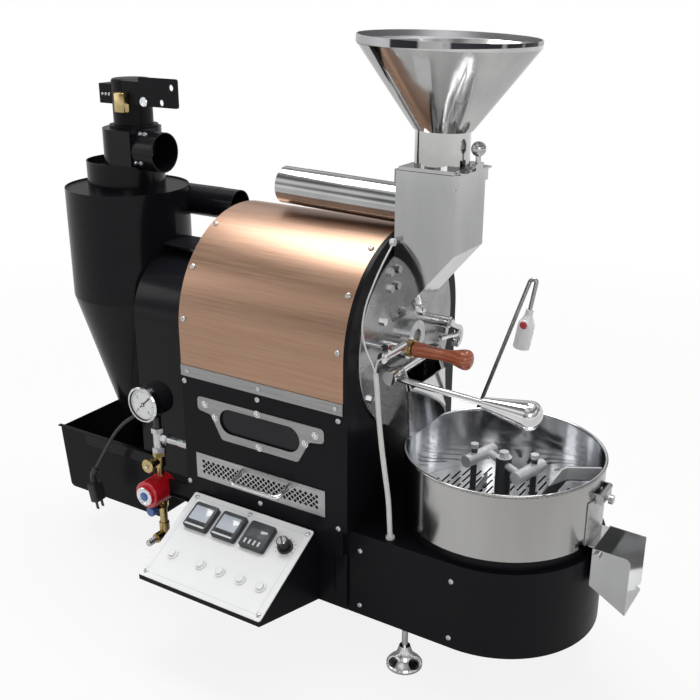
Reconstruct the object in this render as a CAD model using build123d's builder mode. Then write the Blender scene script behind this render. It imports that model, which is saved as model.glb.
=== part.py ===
from build123d import *
import math
import os

# Small gas drum roaster for coffee: a horizontal drum in a steel body under a half-round
# cover, a hopper and feed chute in front, a round cooling tray on its own base, a
# cyclone with a blower and a chaff bin behind, a gas train and a sloping control panel.
# Millimetres.  +X points from the body to the cooling tray, -Y to the user, +Z up.
# The origin lies on the ground, in the middle of the whole machine.

# ------------------------------------------------------------------ driving sizes
sheet = 3.0                # body and base steel
thin = 1.5                 # stainless and copper sheet
gap = 0.3                  # clearance between pieces that only stand close
slide_gap = 0.5            # clearance of a sliding piece on each side
turn_gap = 0.08            # radial clearance of a shaft in its bore
swage, swage_l = 0.4, 44.0 # duct ends are drawn in a little over this length

cover_len = 316.0          # drum cover, along the drum's axis
body_half = 177.0          # half width of the body, and the cover's outer radius
axis_z = 520.0             # drum axis above the ground
strip_low_z = 440.0        # lower edge of the bright trim strips
cover_low_z = 459.0        # lower edge of the drum cover
base_low_z = 92.0          # underside of the base
deck_z = 240.0             # top of the tray's base
skirt_z = 198.0            # lower edge of the body's side skirts

tray_ahead = 190.0         # tray centre, ahead of the cover's front plane
spout_tip = 223.0          # spout's outer edge, ahead of the tray centre
bin_ahead = 452.0          # chaff bin's front wall, behind the cover's front plane
bin_len = 259.0
console_reach = 330.0      # panel's lower edge, from the drum axis
far_reach = body_half + thin    # far trim strip, from the drum axis

fx = (bin_ahead + bin_len - tray_ahead - spout_tip) / 2    # cover's front plane
ay = (console_reach - far_reach) / 2                       # drum axis
back_x = fx - cover_len                                    # body's rear plane
cyc_x, cyc_r = fx - 582.0, 112.0                           # cyclone's axis and radius
column_in = 12.0           # gas column, in from the body's side
col_x, col_y = fx - 390.0, ay - body_half + column_in      # gas column
reg_r, reg_z = 25.0, 205.0                                 # regulator on it
user_y = ay - body_half                                    # body's side on the user's hand
tray_x = fx + tray_ahead

MID = (Align.CENTER, Align.CENTER, Align.MIN)
TOP = (Align.CENTER, Align.CENTER, Align.MAX)


def user_plane(y):
    """Sketch plane through y that faces -Y: its x is X and its y is Z."""
    return Plane.XZ.offset(-y)


def front_plane(x):
    """Sketch plane through x that faces +X: its x is Y and its y is Z."""
    return Plane.YZ.offset(x)


def block(low, high, mode=Mode.ADD):
    """A block between two corners, made in the part that is being built."""
    size = [high[i] - low[i] for i in range(3)]
    middle = [(high[i] + low[i]) / 2 for i in range(3)]
    with Locations(tuple(middle)):
        Box(*size, mode=mode)


def finish(part, label):
    """Name a piece and write it out."""
    part.label = label
    export_step(part, "parts/" + label + ".step")


os.makedirs("parts", exist_ok=True)

# ------------------------------------------------------------------ body
chassis_step = 12.0        # lower box, in from the body's side
chassis_half = body_half - chassis_step
drawer_w, drawer_h = 260.0, 46.0
drawer_mid_x = fx - 162.0
drawer_low_z = 259.0
drawer_lip = 6.0           # drawer front beyond the opening, all round
opening_w = drawer_w - 2 * drawer_lip
opening_h = drawer_h - 2 * drawer_lip
floor_z = drawer_low_z + drawer_lip     # floor that the chaff drawer slides on
window_w, window_h = 159.0, 44.0
window_x, window_z = fx - 158.5, 377.5
rear_bore = 18.0           # hole for the drum's shaft in the rear wall
post_w, post_d = 22.0, 6.0      # hinge post on the front corner
foot_rod_r = 5.0
foot_ahead, foot_behind, foot_side = 90.0, 290.0, 130.0
feet = [(fx + foot_ahead, ay - foot_side), (fx + foot_ahead, ay + foot_side),
        (fx - foot_behind, ay - foot_side), (fx - foot_behind, ay + foot_side)]

with BuildPart() as body_box:
    block((back_x, user_y, skirt_z), (fx, ay + body_half, cover_low_z))
    block((back_x, ay - chassis_half, base_low_z), (fx, ay + chassis_half, skirt_z))
    # rear wall under the cover
    with BuildSketch(front_plane(back_x)):
        with Locations((ay, cover_low_z)):
            Rectangle(2 * (body_half - thin - gap), axis_z - cover_low_z,
                      align=(Align.CENTER, Align.MIN))
        with Locations((ay, axis_z)):
            Circle(body_half - thin - gap)
    extrude(amount=sheet)
    # roasting chamber, open to the front plate above the deck
    block((back_x + sheet, user_y + sheet, floor_z),
          (fx + sheet, ay + body_half - sheet, axis_z + body_half), Mode.SUBTRACT)
    # hollow under the floor
    block((back_x + sheet, user_y + sheet, skirt_z + sheet),
          (fx - sheet, ay + body_half - sheet, floor_z - sheet), Mode.SUBTRACT)
    block((back_x + sheet, ay - chassis_half + sheet, base_low_z + sheet),
          (fx - sheet, ay + chassis_half - sheet, skirt_z + 2 * sheet), Mode.SUBTRACT)
    # side openings: sight window and chaff drawer
    with BuildSketch(user_plane(user_y)):
        with Locations((window_x, window_z)):
            SlotOverall(window_w, window_h)
        with Locations((drawer_mid_x, drawer_low_z + drawer_h / 2)):
            Rectangle(opening_w, opening_h)
    extrude(amount=-sheet, mode=Mode.SUBTRACT)
    # holes for the feet and the shaft
    with BuildSketch(Plane.XY.offset(base_low_z)):
        with Locations(*[(x, y) for x, y in feet if x < fx]):
            Circle(foot_rod_r + gap)
    extrude(amount=sheet, mode=Mode.SUBTRACT)
    with BuildSketch(front_plane(back_x)):
        with Locations((ay, axis_z)):
            Circle(rear_bore)
    extrude(amount=sheet, mode=Mode.SUBTRACT)
    # bracket of the gas regulator
    block((col_x + reg_r, col_y - 7, skirt_z + 1), (back_x + 1, col_y - 4, reg_z + reg_r))
    block((col_x + reg_r + 2, col_y - 11, skirt_z + 1), (back_x + 1, col_y - 4, skirt_z + 4))
    # hinge post on the user's front corner
    with BuildSketch(Plane.XY.offset(base_low_z + 8)):
        with Locations((fx - 8.0, ay - chassis_half - post_d / 2)):
            RectangleRounded(post_w, post_d, 2.5)
    extrude(amount=skirt_z - base_low_z - 8)
finish(body_box.part, "body_box")


# ------------------------------------------------------------------ drum cover and strips
with BuildPart() as drum_cover:
    with BuildSketch(front_plane(back_x)):
        with Locations((ay, cover_low_z)):
            Rectangle(2 * body_half, axis_z - cover_low_z, align=(Align.CENTER, Align.MIN))
        with Locations((ay, axis_z)):
            Circle(body_half)
        with Locations((ay, cover_low_z)):
            Rectangle(2 * (body_half - thin), axis_z - cover_low_z,
                      align=(Align.CENTER, Align.MIN), mode=Mode.SUBTRACT)
        with Locations((ay, axis_z)):
            Circle(body_half - thin, mode=Mode.SUBTRACT)
        with Locations((ay, cover_low_z)):
            Rectangle(4 * body_half, body_half, align=(Align.CENTER, Align.MAX),
                      mode=Mode.SUBTRACT)
    extrude(amount=cover_len)
finish(drum_cover.part, "drum_cover")

with BuildPart() as trim_strips:
    block((back_x, user_y - thin, strip_low_z), (fx, user_y, cover_low_z))
    block((back_x, ay + body_half, strip_low_z), (fx, ay + body_half + thin, cover_low_z))
finish(trim_strips.part, "trim_strips")

# ------------------------------------------------------------------ front plates
plate_t = 8.0              # black arch plate
disc_t = 4.0               # polished disc on it
disc_r = 150.0
face_x = fx + plate_t + disc_t
drum_r = 140.0
feed_w, feed_low, feed_high = 76.0, 45.0, 112.0        # feed hole, above the axis
mouth_low, mouth_high = 122.0, 66.0                    # discharge hole, below the axis
mouth_w = 110.0
mouth_mid = 2.0
shaft_r = 12.0
trier_y, trier_z = ay - 45.0, 516.0
trier_bush_r = 13.0


def front_holes():
    """Feed, discharge, shaft and sampling holes in the sketch of a front plate."""
    with Locations((ay, axis_z + (feed_low + feed_high) / 2)):
        Rectangle(feed_w, feed_high - feed_low, mode=Mode.SUBTRACT)
    with Locations((ay + mouth_mid, axis_z - (mouth_low + mouth_high) / 2)):
        Rectangle(mouth_w, mouth_low - mouth_high, mode=Mode.SUBTRACT)
    with Locations((ay, axis_z)):
        Circle(shaft_r + 4, mode=Mode.SUBTRACT)
    with Locations((trier_y, trier_z)):
        Circle(trier_bush_r, mode=Mode.SUBTRACT)


with BuildPart() as front_plate:
    with BuildSketch(front_plane(fx)):
        with Locations((ay, deck_z)):
            Rectangle(2 * body_half, axis_z - deck_z, align=(Align.CENTER, Align.MIN))
        with Locations((ay, axis_z)):
            Circle(body_half)
        front_holes()
    extrude(amount=plate_t)
finish(front_plate.part, "front_plate")

with BuildPart() as face_plate:
    with BuildSketch(front_plane(fx + plate_t)):
        with Locations((ay, axis_z)):
            Circle(disc_r)
        front_holes()
    extrude(amount=disc_t)
    chamfer(face_plate.faces().sort_by(Axis.X)[-1].outer_wire().edges(), 1.0)
finish(face_plate.part, "face_plate")

# ------------------------------------------------------------------ sight window
ear_half, ear_low, ear_high = 125.0, 386.0, 410.0
chin_half, chin_z = 76.0, 342.0
with BuildPart() as sight_plate:
    with BuildSketch(user_plane(user_y)) as outline:
        with BuildLine():
            Polyline((window_x - ear_half, ear_high), (window_x + ear_half, ear_high),
                     (window_x + ear_half, ear_low), (window_x + chin_half + 22, ear_low - 4),
                     (window_x + chin_half, chin_z), (window_x - chin_half, chin_z),
                     (window_x - chin_half - 22, ear_low - 4), (window_x - ear_half, ear_low),
                     close=True)
        make_face()
        fillet(outline.vertices(), 7.0)
        with Locations((window_x, window_z)):
            SlotOverall(window_w, window_h, mode=Mode.SUBTRACT)
    extrude(amount=thin)
finish(sight_plate.part, "sight_plate")

glass_t = 3.0
glass_lap = 5.0            # glass beyond the window, all round
with BuildPart() as sight_glass:
    with BuildSketch(user_plane(user_y + sheet)):
        with Locations((window_x, window_z)):
            SlotOverall(window_w + 2 * glass_lap, window_h + 2 * glass_lap)
    extrude(amount=-glass_t)
finish(sight_glass.part, "sight_glass")

# ------------------------------------------------------------------ drum
drum_wall = 3.0
drum_gap = 4.0             # between the drum's mouth and the front plate
drum_back_gap = 14.0
vane_h, vane_t, vane_count = 26.0, 3.0, 6
bearing_r, bearing_len = 26.0, 16.0
drum_x0 = back_x + sheet + drum_back_gap
drum_x1 = fx - drum_gap
shaft_tail = 30.0          # shaft beyond the body's rear wall
with BuildPart() as roasting_drum:
    with BuildSketch(front_plane(drum_x0)):
        with Locations((ay, axis_z)):
            Circle(drum_r)
    extrude(amount=drum_x1 - drum_x0)
    with BuildSketch(front_plane(drum_x0 + drum_wall)):
        with Locations((ay, axis_z)):
            Circle(drum_r - drum_wall)
    extrude(amount=drum_x1 - drum_x0, mode=Mode.SUBTRACT)
    # mixing vanes, slanted along the shell
    for i in range(vane_count):
        turn = 360.0 * i / vane_count
        seat = Plane(origin=((drum_x0 + drum_x1) / 2, ay, axis_z), x_dir=(1, 0, 0),
                     z_dir=(0, -math.sin(math.radians(turn)), math.cos(math.radians(turn))))
        with BuildSketch(seat.offset(drum_r - drum_wall / 2 - vane_h)):
            Rectangle(drum_x1 - drum_x0 - 30, vane_t, rotation=9.0)
        extrude(amount=vane_h)
    # shaft through the rear disc and the front bearing
    with BuildSketch(front_plane(back_x - shaft_tail)):
        with Locations((ay, axis_z)):
            Circle(shaft_r)
    extrude(amount=cover_len + shaft_tail + plate_t + disc_t + bearing_len - 4)
finish(roasting_drum.part, "roasting_drum")

with BuildPart() as drum_bearings:
    # flanged bearing on the face plate, and one in the rear wall
    with BuildSketch(front_plane(face_x)):
        with Locations((ay, axis_z)):
            Circle(bearing_r)
            Circle(shaft_r + turn_gap, mode=Mode.SUBTRACT)
    extrude(amount=bearing_len)
    with BuildSketch(front_plane(back_x - 12)):
        with Locations((ay, axis_z)):
            Circle(bearing_r)
            Circle(shaft_r + turn_gap, mode=Mode.SUBTRACT)
    extrude(amount=12)
finish(drum_bearings.part, "drum_bearings")

# ------------------------------------------------------------------ tray base and feet
base_half = 164.5
tray_off = 4.0             # tray centre, towards the user from the drum axis
tray_y = ay - tray_off
tray_low_z, tray_high_z = 258.0, 365.0
ring_r, ring_t = 152.0, 3.0
air_r = 130.0              # air opening under the tray
intake_r = 55.0

with BuildPart() as base_plenum:
    with BuildSketch(Plane.XY.offset(base_low_z)):
        with Locations((fx, ay)):
            Rectangle(tray_ahead, 2 * base_half, align=(Align.MIN, Align.CENTER))
        with Locations((tray_x, ay)):
            Circle(base_half)
    extrude(amount=deck_z - base_low_z)
    with BuildSketch(Plane.XY.offset(base_low_z + sheet)):
        with Locations((fx + sheet, ay)):
            Rectangle(tray_ahead - sheet, 2 * (base_half - sheet),
                      align=(Align.MIN, Align.CENTER))
        with Locations((tray_x, ay)):
            Circle(base_half - sheet)
    extrude(amount=deck_z - base_low_z - 2 * sheet, mode=Mode.SUBTRACT)
    # collar that carries the tray, and the openings for the cooling air
    with BuildSketch(Plane.XY.offset(deck_z)):
        with Locations((tray_x, tray_y)):
            Circle(ring_r)
            Circle(ring_r - ring_t, mode=Mode.SUBTRACT)
    extrude(amount=tray_low_z - deck_z)
    with BuildSketch(Plane.XY.offset(deck_z)):
        with Locations((tray_x, tray_y)):
            Circle(air_r)
    extrude(amount=-sheet, mode=Mode.SUBTRACT)
    with BuildSketch(Plane.XY.offset(base_low_z)):
        with Locations((tray_x, ay)):
            Circle(intake_r)
        with Locations(*[(x, y) for x, y in feet if x > fx]):
            Circle(foot_rod_r + gap)
    extrude(amount=sheet, mode=Mode.SUBTRACT)
finish(base_plenum.part, "base_plenum")

bell_r, bell_h, bell_rim = 29.5, 37.0, 4.0
nut_r, nut_h = 9.0, 7.0
with BuildPart() as levelling_feet:
    with BuildSketch(Plane.XZ) as bell:
        with BuildLine():
            Line((0, 0), (bell_r, 0))
            Line((bell_r, 0), (bell_r, bell_rim))
            Spline((bell_r, bell_rim), (bell_r * 0.62, bell_h * 0.42), (nut_r, bell_h),
                   tangents=((-0.6, 1.0), (-0.25, 1.0)))
            Line((nut_r, bell_h), (foot_rod_r, bell_h))
            Line((foot_rod_r, bell_h), (foot_rod_r, base_low_z + 4 * sheet))
            Line((foot_rod_r, base_low_z + 4 * sheet), (0, base_low_z + 4 * sheet))
            Line((0, base_low_z + 4 * sheet), (0, 0))
        make_face()
    revolve(axis=Axis.Z)
    with BuildSketch(Plane.XY.offset(base_low_z - nut_h)):
        RegularPolygon(nut_r, 6)
    extrude(amount=nut_h)
foot = levelling_feet.part
with BuildPart() as levelling_feet:
    with Locations(*[(x, y, 0) for x, y in feet]):
        add(foot)
finish(levelling_feet.part, "levelling_feet")

# ------------------------------------------------------------------ cooling tray
tray_r = 156.5
bead_r = 2.6               # rolled rim
port_w, port_low, port_high = 70.0, 264.0, 330.0
hinge_x, hinge_z = tray_x + tray_r + 7.0, 337.0
hinge_pin_r, hinge_eye_r, hinge_len = 2.5, 4.5, 40.0
floor_t = 2.0
hub_r, hub_drop = 20.0, 14.0
stir_shaft_r = 8.0

with BuildPart() as cooling_tray:
    with BuildSketch(Plane.XY.offset(tray_low_z)):
        with Locations((tray_x, tray_y)):
            Circle(tray_r)
    extrude(amount=tray_high_z - tray_low_z)
    with BuildSketch(Plane.XY.offset(tray_low_z + thin)):
        with Locations((tray_x, tray_y)):
            Circle(tray_r - thin)
    extrude(amount=tray_high_z - tray_low_z, mode=Mode.SUBTRACT)
    with BuildSketch(Plane.XY.offset(tray_low_z)):
        with Locations((tray_x, tray_y)):
            Circle(tray_r - 14)
    extrude(amount=thin, mode=Mode.SUBTRACT)
    with Locations((tray_x, tray_y, tray_high_z)):
        Torus(tray_r - thin / 2, bead_r)
    # outlet port, and the ears and pin of its flap
    block((tray_x + tray_r - 20, tray_y - port_w / 2, port_low),
          (tray_x + tray_r + 5, tray_y + port_w / 2, port_high), Mode.SUBTRACT)
    for side in (-1, 1):
        y0 = tray_y + side * (hinge_len / 2 + 2 * gap)
        with BuildSketch(user_plane(y0)):
            with Locations((hinge_x, hinge_z)):
                Circle(hinge_eye_r)
            with Locations((hinge_x, hinge_z)):
                Rectangle(hinge_x - tray_x - tray_r + 2.5, 2 * hinge_eye_r,
                          align=(Align.MAX, Align.CENTER))
        extrude(amount=-side * 3.0)
    with BuildSketch(user_plane(tray_y)):
        with Locations((hinge_x, hinge_z)):
            Circle(hinge_pin_r)
    extrude(amount=hinge_len / 2 + 2, both=True)
finish(cooling_tray.part, "cooling_tray")

slot_w, slot_l, slot_pitch, slot_row = 3.4, 34.0, 10.0, 41.0
with BuildPart() as tray_floor:
    with BuildSketch(Plane.XY.offset(tray_low_z + thin)):
        with Locations((tray_x, tray_y)):
            Circle(tray_r - thin - gap)
        cells = []
        rows = int(tray_r / slot_row) + 1
        columns = int(tray_r / slot_pitch) + 1
        for i in range(-columns, columns + 1):
            shift = slot_row / 2 if i % 2 else 0.0
            for j in range(-rows, rows + 1):
                u, v = i * slot_pitch, j * slot_row + shift
                reach = math.hypot(u, abs(v) + slot_l / 2)
                near = math.hypot(u, max(abs(v) - slot_l / 2, 0.0))
                if reach < tray_r - 14 and near > hub_r + 4:
                    cells.append((tray_x + u, tray_y + v))
        with Locations(*cells):
            Rectangle(slot_w, slot_l, mode=Mode.SUBTRACT)
    extrude(amount=floor_t)
    # hub for the stirrer's shaft
    with BuildSketch(Plane.XY.offset(tray_low_z + thin + floor_t)):
        with Locations((tray_x, tray_y)):
            Circle(hub_r)
    extrude(amount=-hub_drop)
    with BuildSketch(Plane.XY.offset(tray_low_z + thin + floor_t)):
        with Locations((tray_x, tray_y)):
            Circle(stir_shaft_r + turn_gap)
    extrude(amount=-hub_drop, mode=Mode.SUBTRACT)
finish(tray_floor.part, "tray_floor")
bed_z = tray_low_z + thin + floor_t        # where the beans lie

# flap over the outlet port
flap_t = 1.5
flap_r = tray_r + gap + 0.2
knob_r = 7.0
with BuildPart() as tray_gate:
    with BuildSketch(Plane.XY.offset(port_low - 3)):
        with Locations((tray_x, tray_y)):
            Circle(flap_r + flap_t)
            Circle(flap_r, mode=Mode.SUBTRACT)
    extrude(amount=hinge_z - port_low + 3 - hinge_eye_r - 2 * gap)
    block((tray_x - 2 * tray_r, tray_y - 2 * tray_r, port_low - 10),
          (tray_x + tray_r - 12, tray_y + 2 * tray_r, hinge_z + 10), Mode.SUBTRACT)
    for side in (-1, 1):
        block((tray_x, tray_y + side * (port_w / 2 + 22) - 18, port_low - 10),
              (tray_x + 2 * tray_r, tray_y + side * (port_w / 2 + 22) + 18, hinge_z + 10),
              Mode.SUBTRACT)
    # eye on the pin, with its neck
    with BuildSketch(user_plane(tray_y)):
        with Locations((hinge_x, hinge_z)):
            Circle(hinge_eye_r)
        with Locations((hinge_x, hinge_z)):
            Rectangle(2 * hinge_eye_r, 13, align=(Align.CENTER, Align.MAX))
    extrude(amount=hinge_len / 2, both=True)
    block((flap_r + tray_x, tray_y - hinge_len / 2, hinge_z - 13),
          (hinge_x, tray_y + hinge_len / 2, hinge_z - 8))
    with BuildSketch(user_plane(tray_y)):
        with Locations((hinge_x, hinge_z)):
            Circle(hinge_pin_r + turn_gap)
    extrude(amount=hinge_len, both=True, mode=Mode.SUBTRACT)
    # pull knob
    with BuildSketch(front_plane(hinge_x)):
        with Locations((tray_y, hinge_z - 10)):
            Circle(3.0)
    extrude(amount=14)
    with BuildSketch(front_plane(hinge_x + 8)):
        with Locations((tray_y, hinge_z - 10)):
            Circle(knob_r)
    extrude(amount=6)
finish(tray_gate.part, "tray_gate")

# spout on the round end of the base
spout_w = 80.0
spout_x0 = tray_x + base_half + 1.0
spout_x1 = tray_x + spout_tip
spout_back_z, spout_front_z = 197.0, 163.0      # floor, at the base and at the outer edge
lip_z = port_low - 3 - 2 * gap
with BuildPart() as tray_spout:
    for side in (-1, 1):
        with BuildSketch(user_plane(tray_y + side * spout_w / 2)) as cheek:
            with BuildLine():
                Polyline((spout_x0, lip_z), (spout_x1, lip_z - 2), (spout_x1, spout_front_z),
                         (spout_x0, spout_back_z), close=True)
            make_face()
            fillet(cheek.vertices().sort_by(Axis.X)[-2:].sort_by(Axis.Z)[-1], 9.0)
        extrude(amount=side * thin)
    with BuildSketch(user_plane(tray_y + spout_w / 2)):
        with BuildLine():
            Polyline((spout_x0, spout_back_z), (spout_x0, spout_back_z + 2 * thin),
                     (spout_x1, spout_front_z + 2 * thin), (spout_x1, spout_front_z),
                     close=True)
        make_face()
    extrude(amount=spout_w)
    # back wall up to the deck, and the lip under the port
    block((spout_x0, tray_y - spout_w / 2, spout_back_z),
          (spout_x0 + thin, tray_y + spout_w / 2, lip_z))
    block((tray_x + tray_r - 6, tray_y - port_w / 2, lip_z - thin),
          (spout_x0 + thin, tray_y + port_w / 2, lip_z))
    with BuildSketch(Plane.XY.offset(lip_z)):
        with Locations((tray_x, tray_y)):
            Circle(tray_r + gap)
    extrude(amount=-2 * thin, mode=Mode.SUBTRACT)
    # thumb screw on the user's side
    with BuildSketch(user_plane(tray_y - spout_w / 2)):
        with Locations((spout_x0 + 8, lip_z - 9)):
            Circle(6.0)
    extrude(amount=8)
finish(tray_spout.part, "tray_spout")

# ------------------------------------------------------------------ stirrer
post_r, post_top = 12.5, 351.5
arm_z, arm_r = 340.0, 6.0
boss_r, boss_len = 10.0, 69.0
boss_turn = 76.0           # direction of the clamp tubes
rod_x, rod_y = 47.6, 7.4   # upright rod, from the post
boss_shift = 13.5          # clamp tube's middle, along it from the rod
arm_join = 34.0            # where the arm meets the tube, along it from the rod
sweep_gap = 2.0            # between blades and the tray's floor
blade_h = 13.0
rake_r = tray_r - thin - 4.0


def upright(p, q):
    """Vertical sketch plane from plan point p towards q: x along, y up."""
    return Plane(origin=(p[0], p[1], 0), x_dir=(q[0] - p[0], q[1] - p[1], 0),
                 z_dir=(q[1] - p[1], p[0] - q[0], 0))


stir = (tray_x, tray_y)
along = (math.cos(math.radians(boss_turn)), math.sin(math.radians(boss_turn)))
with BuildPart() as stirrer:
    with BuildSketch(Plane.XY.offset(bed_z + gap)):
        with Locations(stir):
            Circle(post_r)
    extrude(amount=post_top - bed_z - gap)
    with BuildSketch(Plane.XY.offset(bed_z + gap)):
        with Locations(stir):
            Circle(2 * post_r)
    extrude(amount=7)
    with BuildSketch(Plane.XY.offset(bed_z + gap)):
        with Locations(stir):
            Circle(stir_shaft_r)
    extrude(amount=-hub_drop - 10)
    with BuildSketch(Plane.XY.offset(post_top)):
        with Locations(stir):
            RegularPolygon(8.0, 6)
    extrude(amount=9)
    for side in (-1, 1):
        rod = (tray_x + side * rod_x, tray_y + side * rod_y)
        middle = (rod[0] - side * boss_shift * along[0], rod[1] - side * boss_shift * along[1])
        join = (rod[0] - side * arm_join * along[0], rod[1] - side * arm_join * along[1])
        # clamp tube, arm and upright rod with its bolt
        with BuildSketch(Plane(origin=(middle[0], middle[1], arm_z), x_dir=(0, 0, 1),
                               z_dir=(along[0], along[1], 0))):
            Circle(boss_r)
        extrude(amount=boss_len / 2, both=True)
        with BuildSketch(Plane(origin=(tray_x, tray_y, arm_z), x_dir=(0, 0, 1),
                               z_dir=(join[0] - tray_x, join[1] - tray_y, 0))):
            Circle(arm_r)
        extrude(amount=math.dist(join, stir))
        with BuildSketch(Plane.XY.offset(bed_z + sweep_gap)):
            with Locations(rod):
                Circle(5.0)
        extrude(amount=tray_high_z - bed_z - sweep_gap)
        with BuildSketch(Plane.XY.offset(tray_high_z - 7)):
            with Locations(rod):
                RegularPolygon(7.0, 6)
        extrude(amount=7)
        # blade on the floor
        tip = (tray_x + side * 57, tray_y - side * 69)
        with BuildSketch(upright(rod, tip)):
            with Locations((-4, bed_z + sweep_gap)):
                Rectangle(math.dist(rod, tip) + 4, blade_h, align=(Align.MIN, Align.MIN))
        extrude(amount=1.5, both=True)
    # rake that clears the wall
    knee = (tray_x + 96, tray_y + 21)
    toe = (tray_x + 57, tray_y - 69)
    heel = (tray_x + 142, tray_y + 48)
    rise = 350.0
    run = math.dist(toe, knee)
    with BuildSketch(upright(toe, knee)):
        with BuildLine():
            Polyline((0, bed_z + sweep_gap), (12, bed_z + sweep_gap), (run, rise - 22),
                     (run, rise), (run - 12, rise), (0, bed_z + sweep_gap + 18), close=True)
        make_face()
    extrude(amount=1.5, both=True)
    with BuildSketch(upright(knee, heel)):
        with Locations((-1.5, rise)):
            Rectangle(math.dist(knee, heel) + 1.5, 22, align=(Align.MIN, Align.MAX))
    extrude(amount=1.5, both=True)
finish(stirrer.part, "stirrer")

# ------------------------------------------------------------------ hopper and feed chute
hop_x = fx + 61.0          # hopper axis
cap_low_z, cap_high_z = 771.0, 791.0
cap_x0, cap_x1 = fx + 6.0, fx + 112.0
cap_y0, cap_y1 = ay - 52.5, ay + 62.0
cap_wall = 6.0
neck_r, neck_high_z = 41.3, 848.0
cone_r0, cone_r1 = 44.5, 132.5
cone_h, band_h = 119.0, 11.0
cone_lean = 2.0            # the funnel leans a little towards the tray
flange_t = 2.0
slide_t = 3.0
slide_low_z = cap_high_z + gap
rail_w, rail_h = 7.0, slide_t + 2 * gap
rail_half = 50.0
neck_low_z = cap_high_z + rail_h
chute_half, chute_mid_y = 49.5, ay - 2.5
chute_x0, chute_x1 = face_x, fx + 111.0
pipe_r, pipe_len, pipe_z, pipe_rise = 30.5, 237.0, 730.0, 7.0
pipe_x0 = chute_x0

funnel_at = Location((hop_x, ay, neck_high_z), (0, cone_lean, 0))
neck_room = 2 * cone_r0 * math.sin(math.radians(cone_lean))
with BuildPart() as hopper:
    # leaning funnel with its band, on the upright neck
    with Locations(funnel_at):
        Cone(cone_r0, cone_r1, cone_h, align=MID)
    with Locations(funnel_at * Pos(0, 0, cone_h)):
        Cylinder(cone_r1, band_h, align=MID)
    with Locations((hop_x, ay, neck_low_z)):
        Cylinder(neck_r, neck_high_z - neck_low_z + neck_room, align=MID)
    with Locations((hop_x, ay, neck_low_z)):
        Box(2 * neck_r + 8, 2 * rail_half, flange_t, align=MID)
    with Locations(funnel_at * Pos(0, 0, thin)):
        Cone(cone_r0 - thin, cone_r1 - thin, cone_h, align=MID, mode=Mode.SUBTRACT)
    with Locations(funnel_at * Pos(0, 0, cone_h + thin)):
        Cylinder(cone_r1 - thin, band_h, align=MID, mode=Mode.SUBTRACT)
    with Locations((hop_x, ay, neck_low_z)):
        Cylinder(neck_r - thin, neck_high_z - neck_low_z + 2 * neck_room, align=MID,
                 mode=Mode.SUBTRACT)
finish(hopper.part, "hopper")

with BuildPart() as hopper_cap:
    with BuildSketch(Plane.XY.offset(cap_low_z)):
        with Locations(((cap_x0 + cap_x1) / 2, (cap_y0 + cap_y1) / 2)):
            RectangleRounded(cap_x1 - cap_x0, cap_y1 - cap_y0, 10.0)
    extrude(amount=cap_high_z - cap_low_z)
    block((chute_x0 + cap_wall, cap_y0 + cap_wall, cap_low_z),
          (cap_x1 - cap_wall, cap_y1 - 3.5 * cap_wall, cap_high_z - flange_t),
          Mode.SUBTRACT)
    with BuildSketch(Plane.XY.offset(cap_high_z)):
        with Locations((hop_x, ay)):
            Circle(neck_r - thin)
    extrude(amount=-flange_t, mode=Mode.SUBTRACT)
    # rails on both sides of the slide gate
    for side in (-1, 1):
        block((hop_x - neck_r - 4, ay + side * (rail_half - rail_w / 2) - rail_w / 2,
               cap_high_z),
              (hop_x + neck_r + 4, ay + side * (rail_half - rail_w / 2) + rail_w / 2,
               cap_high_z + rail_h))
    block((hop_x - neck_r - 4, ay - rail_half, cap_high_z),
          (hop_x - neck_r + 1, ay + rail_half, cap_high_z + rail_h))
finish(hopper_cap.part, "hopper_cap")

slide_half = rail_half - rail_w - slide_gap
slide_x0 = hop_x - neck_r + 1 + slide_gap
slide_x1 = hop_x + neck_r + 20
ball_r = 11.0
ball_z = 824.0
with BuildPart() as slide_gate:
    block((slide_x0, ay - slide_half, slide_low_z),
          (slide_x1, ay + slide_half, slide_low_z + slide_t))
    with BuildSketch(Plane.XY.offset(slide_low_z + slide_t)):
        with Locations((slide_x1 - 3, ay)):
            Rectangle(6, 24)
    extrude(amount=9)
    with BuildSketch(Plane.XY.offset(slide_low_z + slide_t + 9)):
        with Locations((slide_x1 - 3, ay)):
            Circle(4.0)
    extrude(amount=ball_z - slide_low_z - slide_t - 9)
    with Locations((slide_x1 - 3, ay, ball_z)):
        Sphere(ball_r)
finish(slide_gate.part, "slide_gate")

with BuildPart() as feed_chute:
    with BuildSketch(user_plane(chute_mid_y + chute_half)) as side_view:
        with BuildLine():
            Polyline((chute_x0, 555.0), (chute_x0, cap_low_z), (chute_x1, cap_low_z),
                     (chute_x1, 673.0), (fx + 72.0, 627.0), close=True)
        make_face()
    extrude(amount=2 * chute_half)
    with BuildSketch(user_plane(chute_mid_y + chute_half - thin)):
        with BuildLine():
            Polyline((chute_x0 + thin, 560.0), (chute_x0 + thin, cap_low_z + 1),
                     (chute_x1 - thin, cap_low_z + 1), (chute_x1 - thin, 674.0),
                     (fx + 71.5, 628.6), close=True)
        make_face()
    extrude(amount=2 * (chute_half - thin), mode=Mode.SUBTRACT)
    # way into the drum, and the smoke outlet
    with BuildSketch(front_plane(chute_x0)):
        with Locations((ay, axis_z + (feed_low + feed_high) / 2)):
            Rectangle(feed_w, feed_high - feed_low)
    extrude(amount=thin, mode=Mode.SUBTRACT)
    with BuildSketch(front_plane(pipe_x0)):
        with Locations((ay, pipe_z)):
            Circle(pipe_r - thin)
    extrude(amount=thin, mode=Mode.SUBTRACT)
finish(feed_chute.part, "feed_chute")

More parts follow.
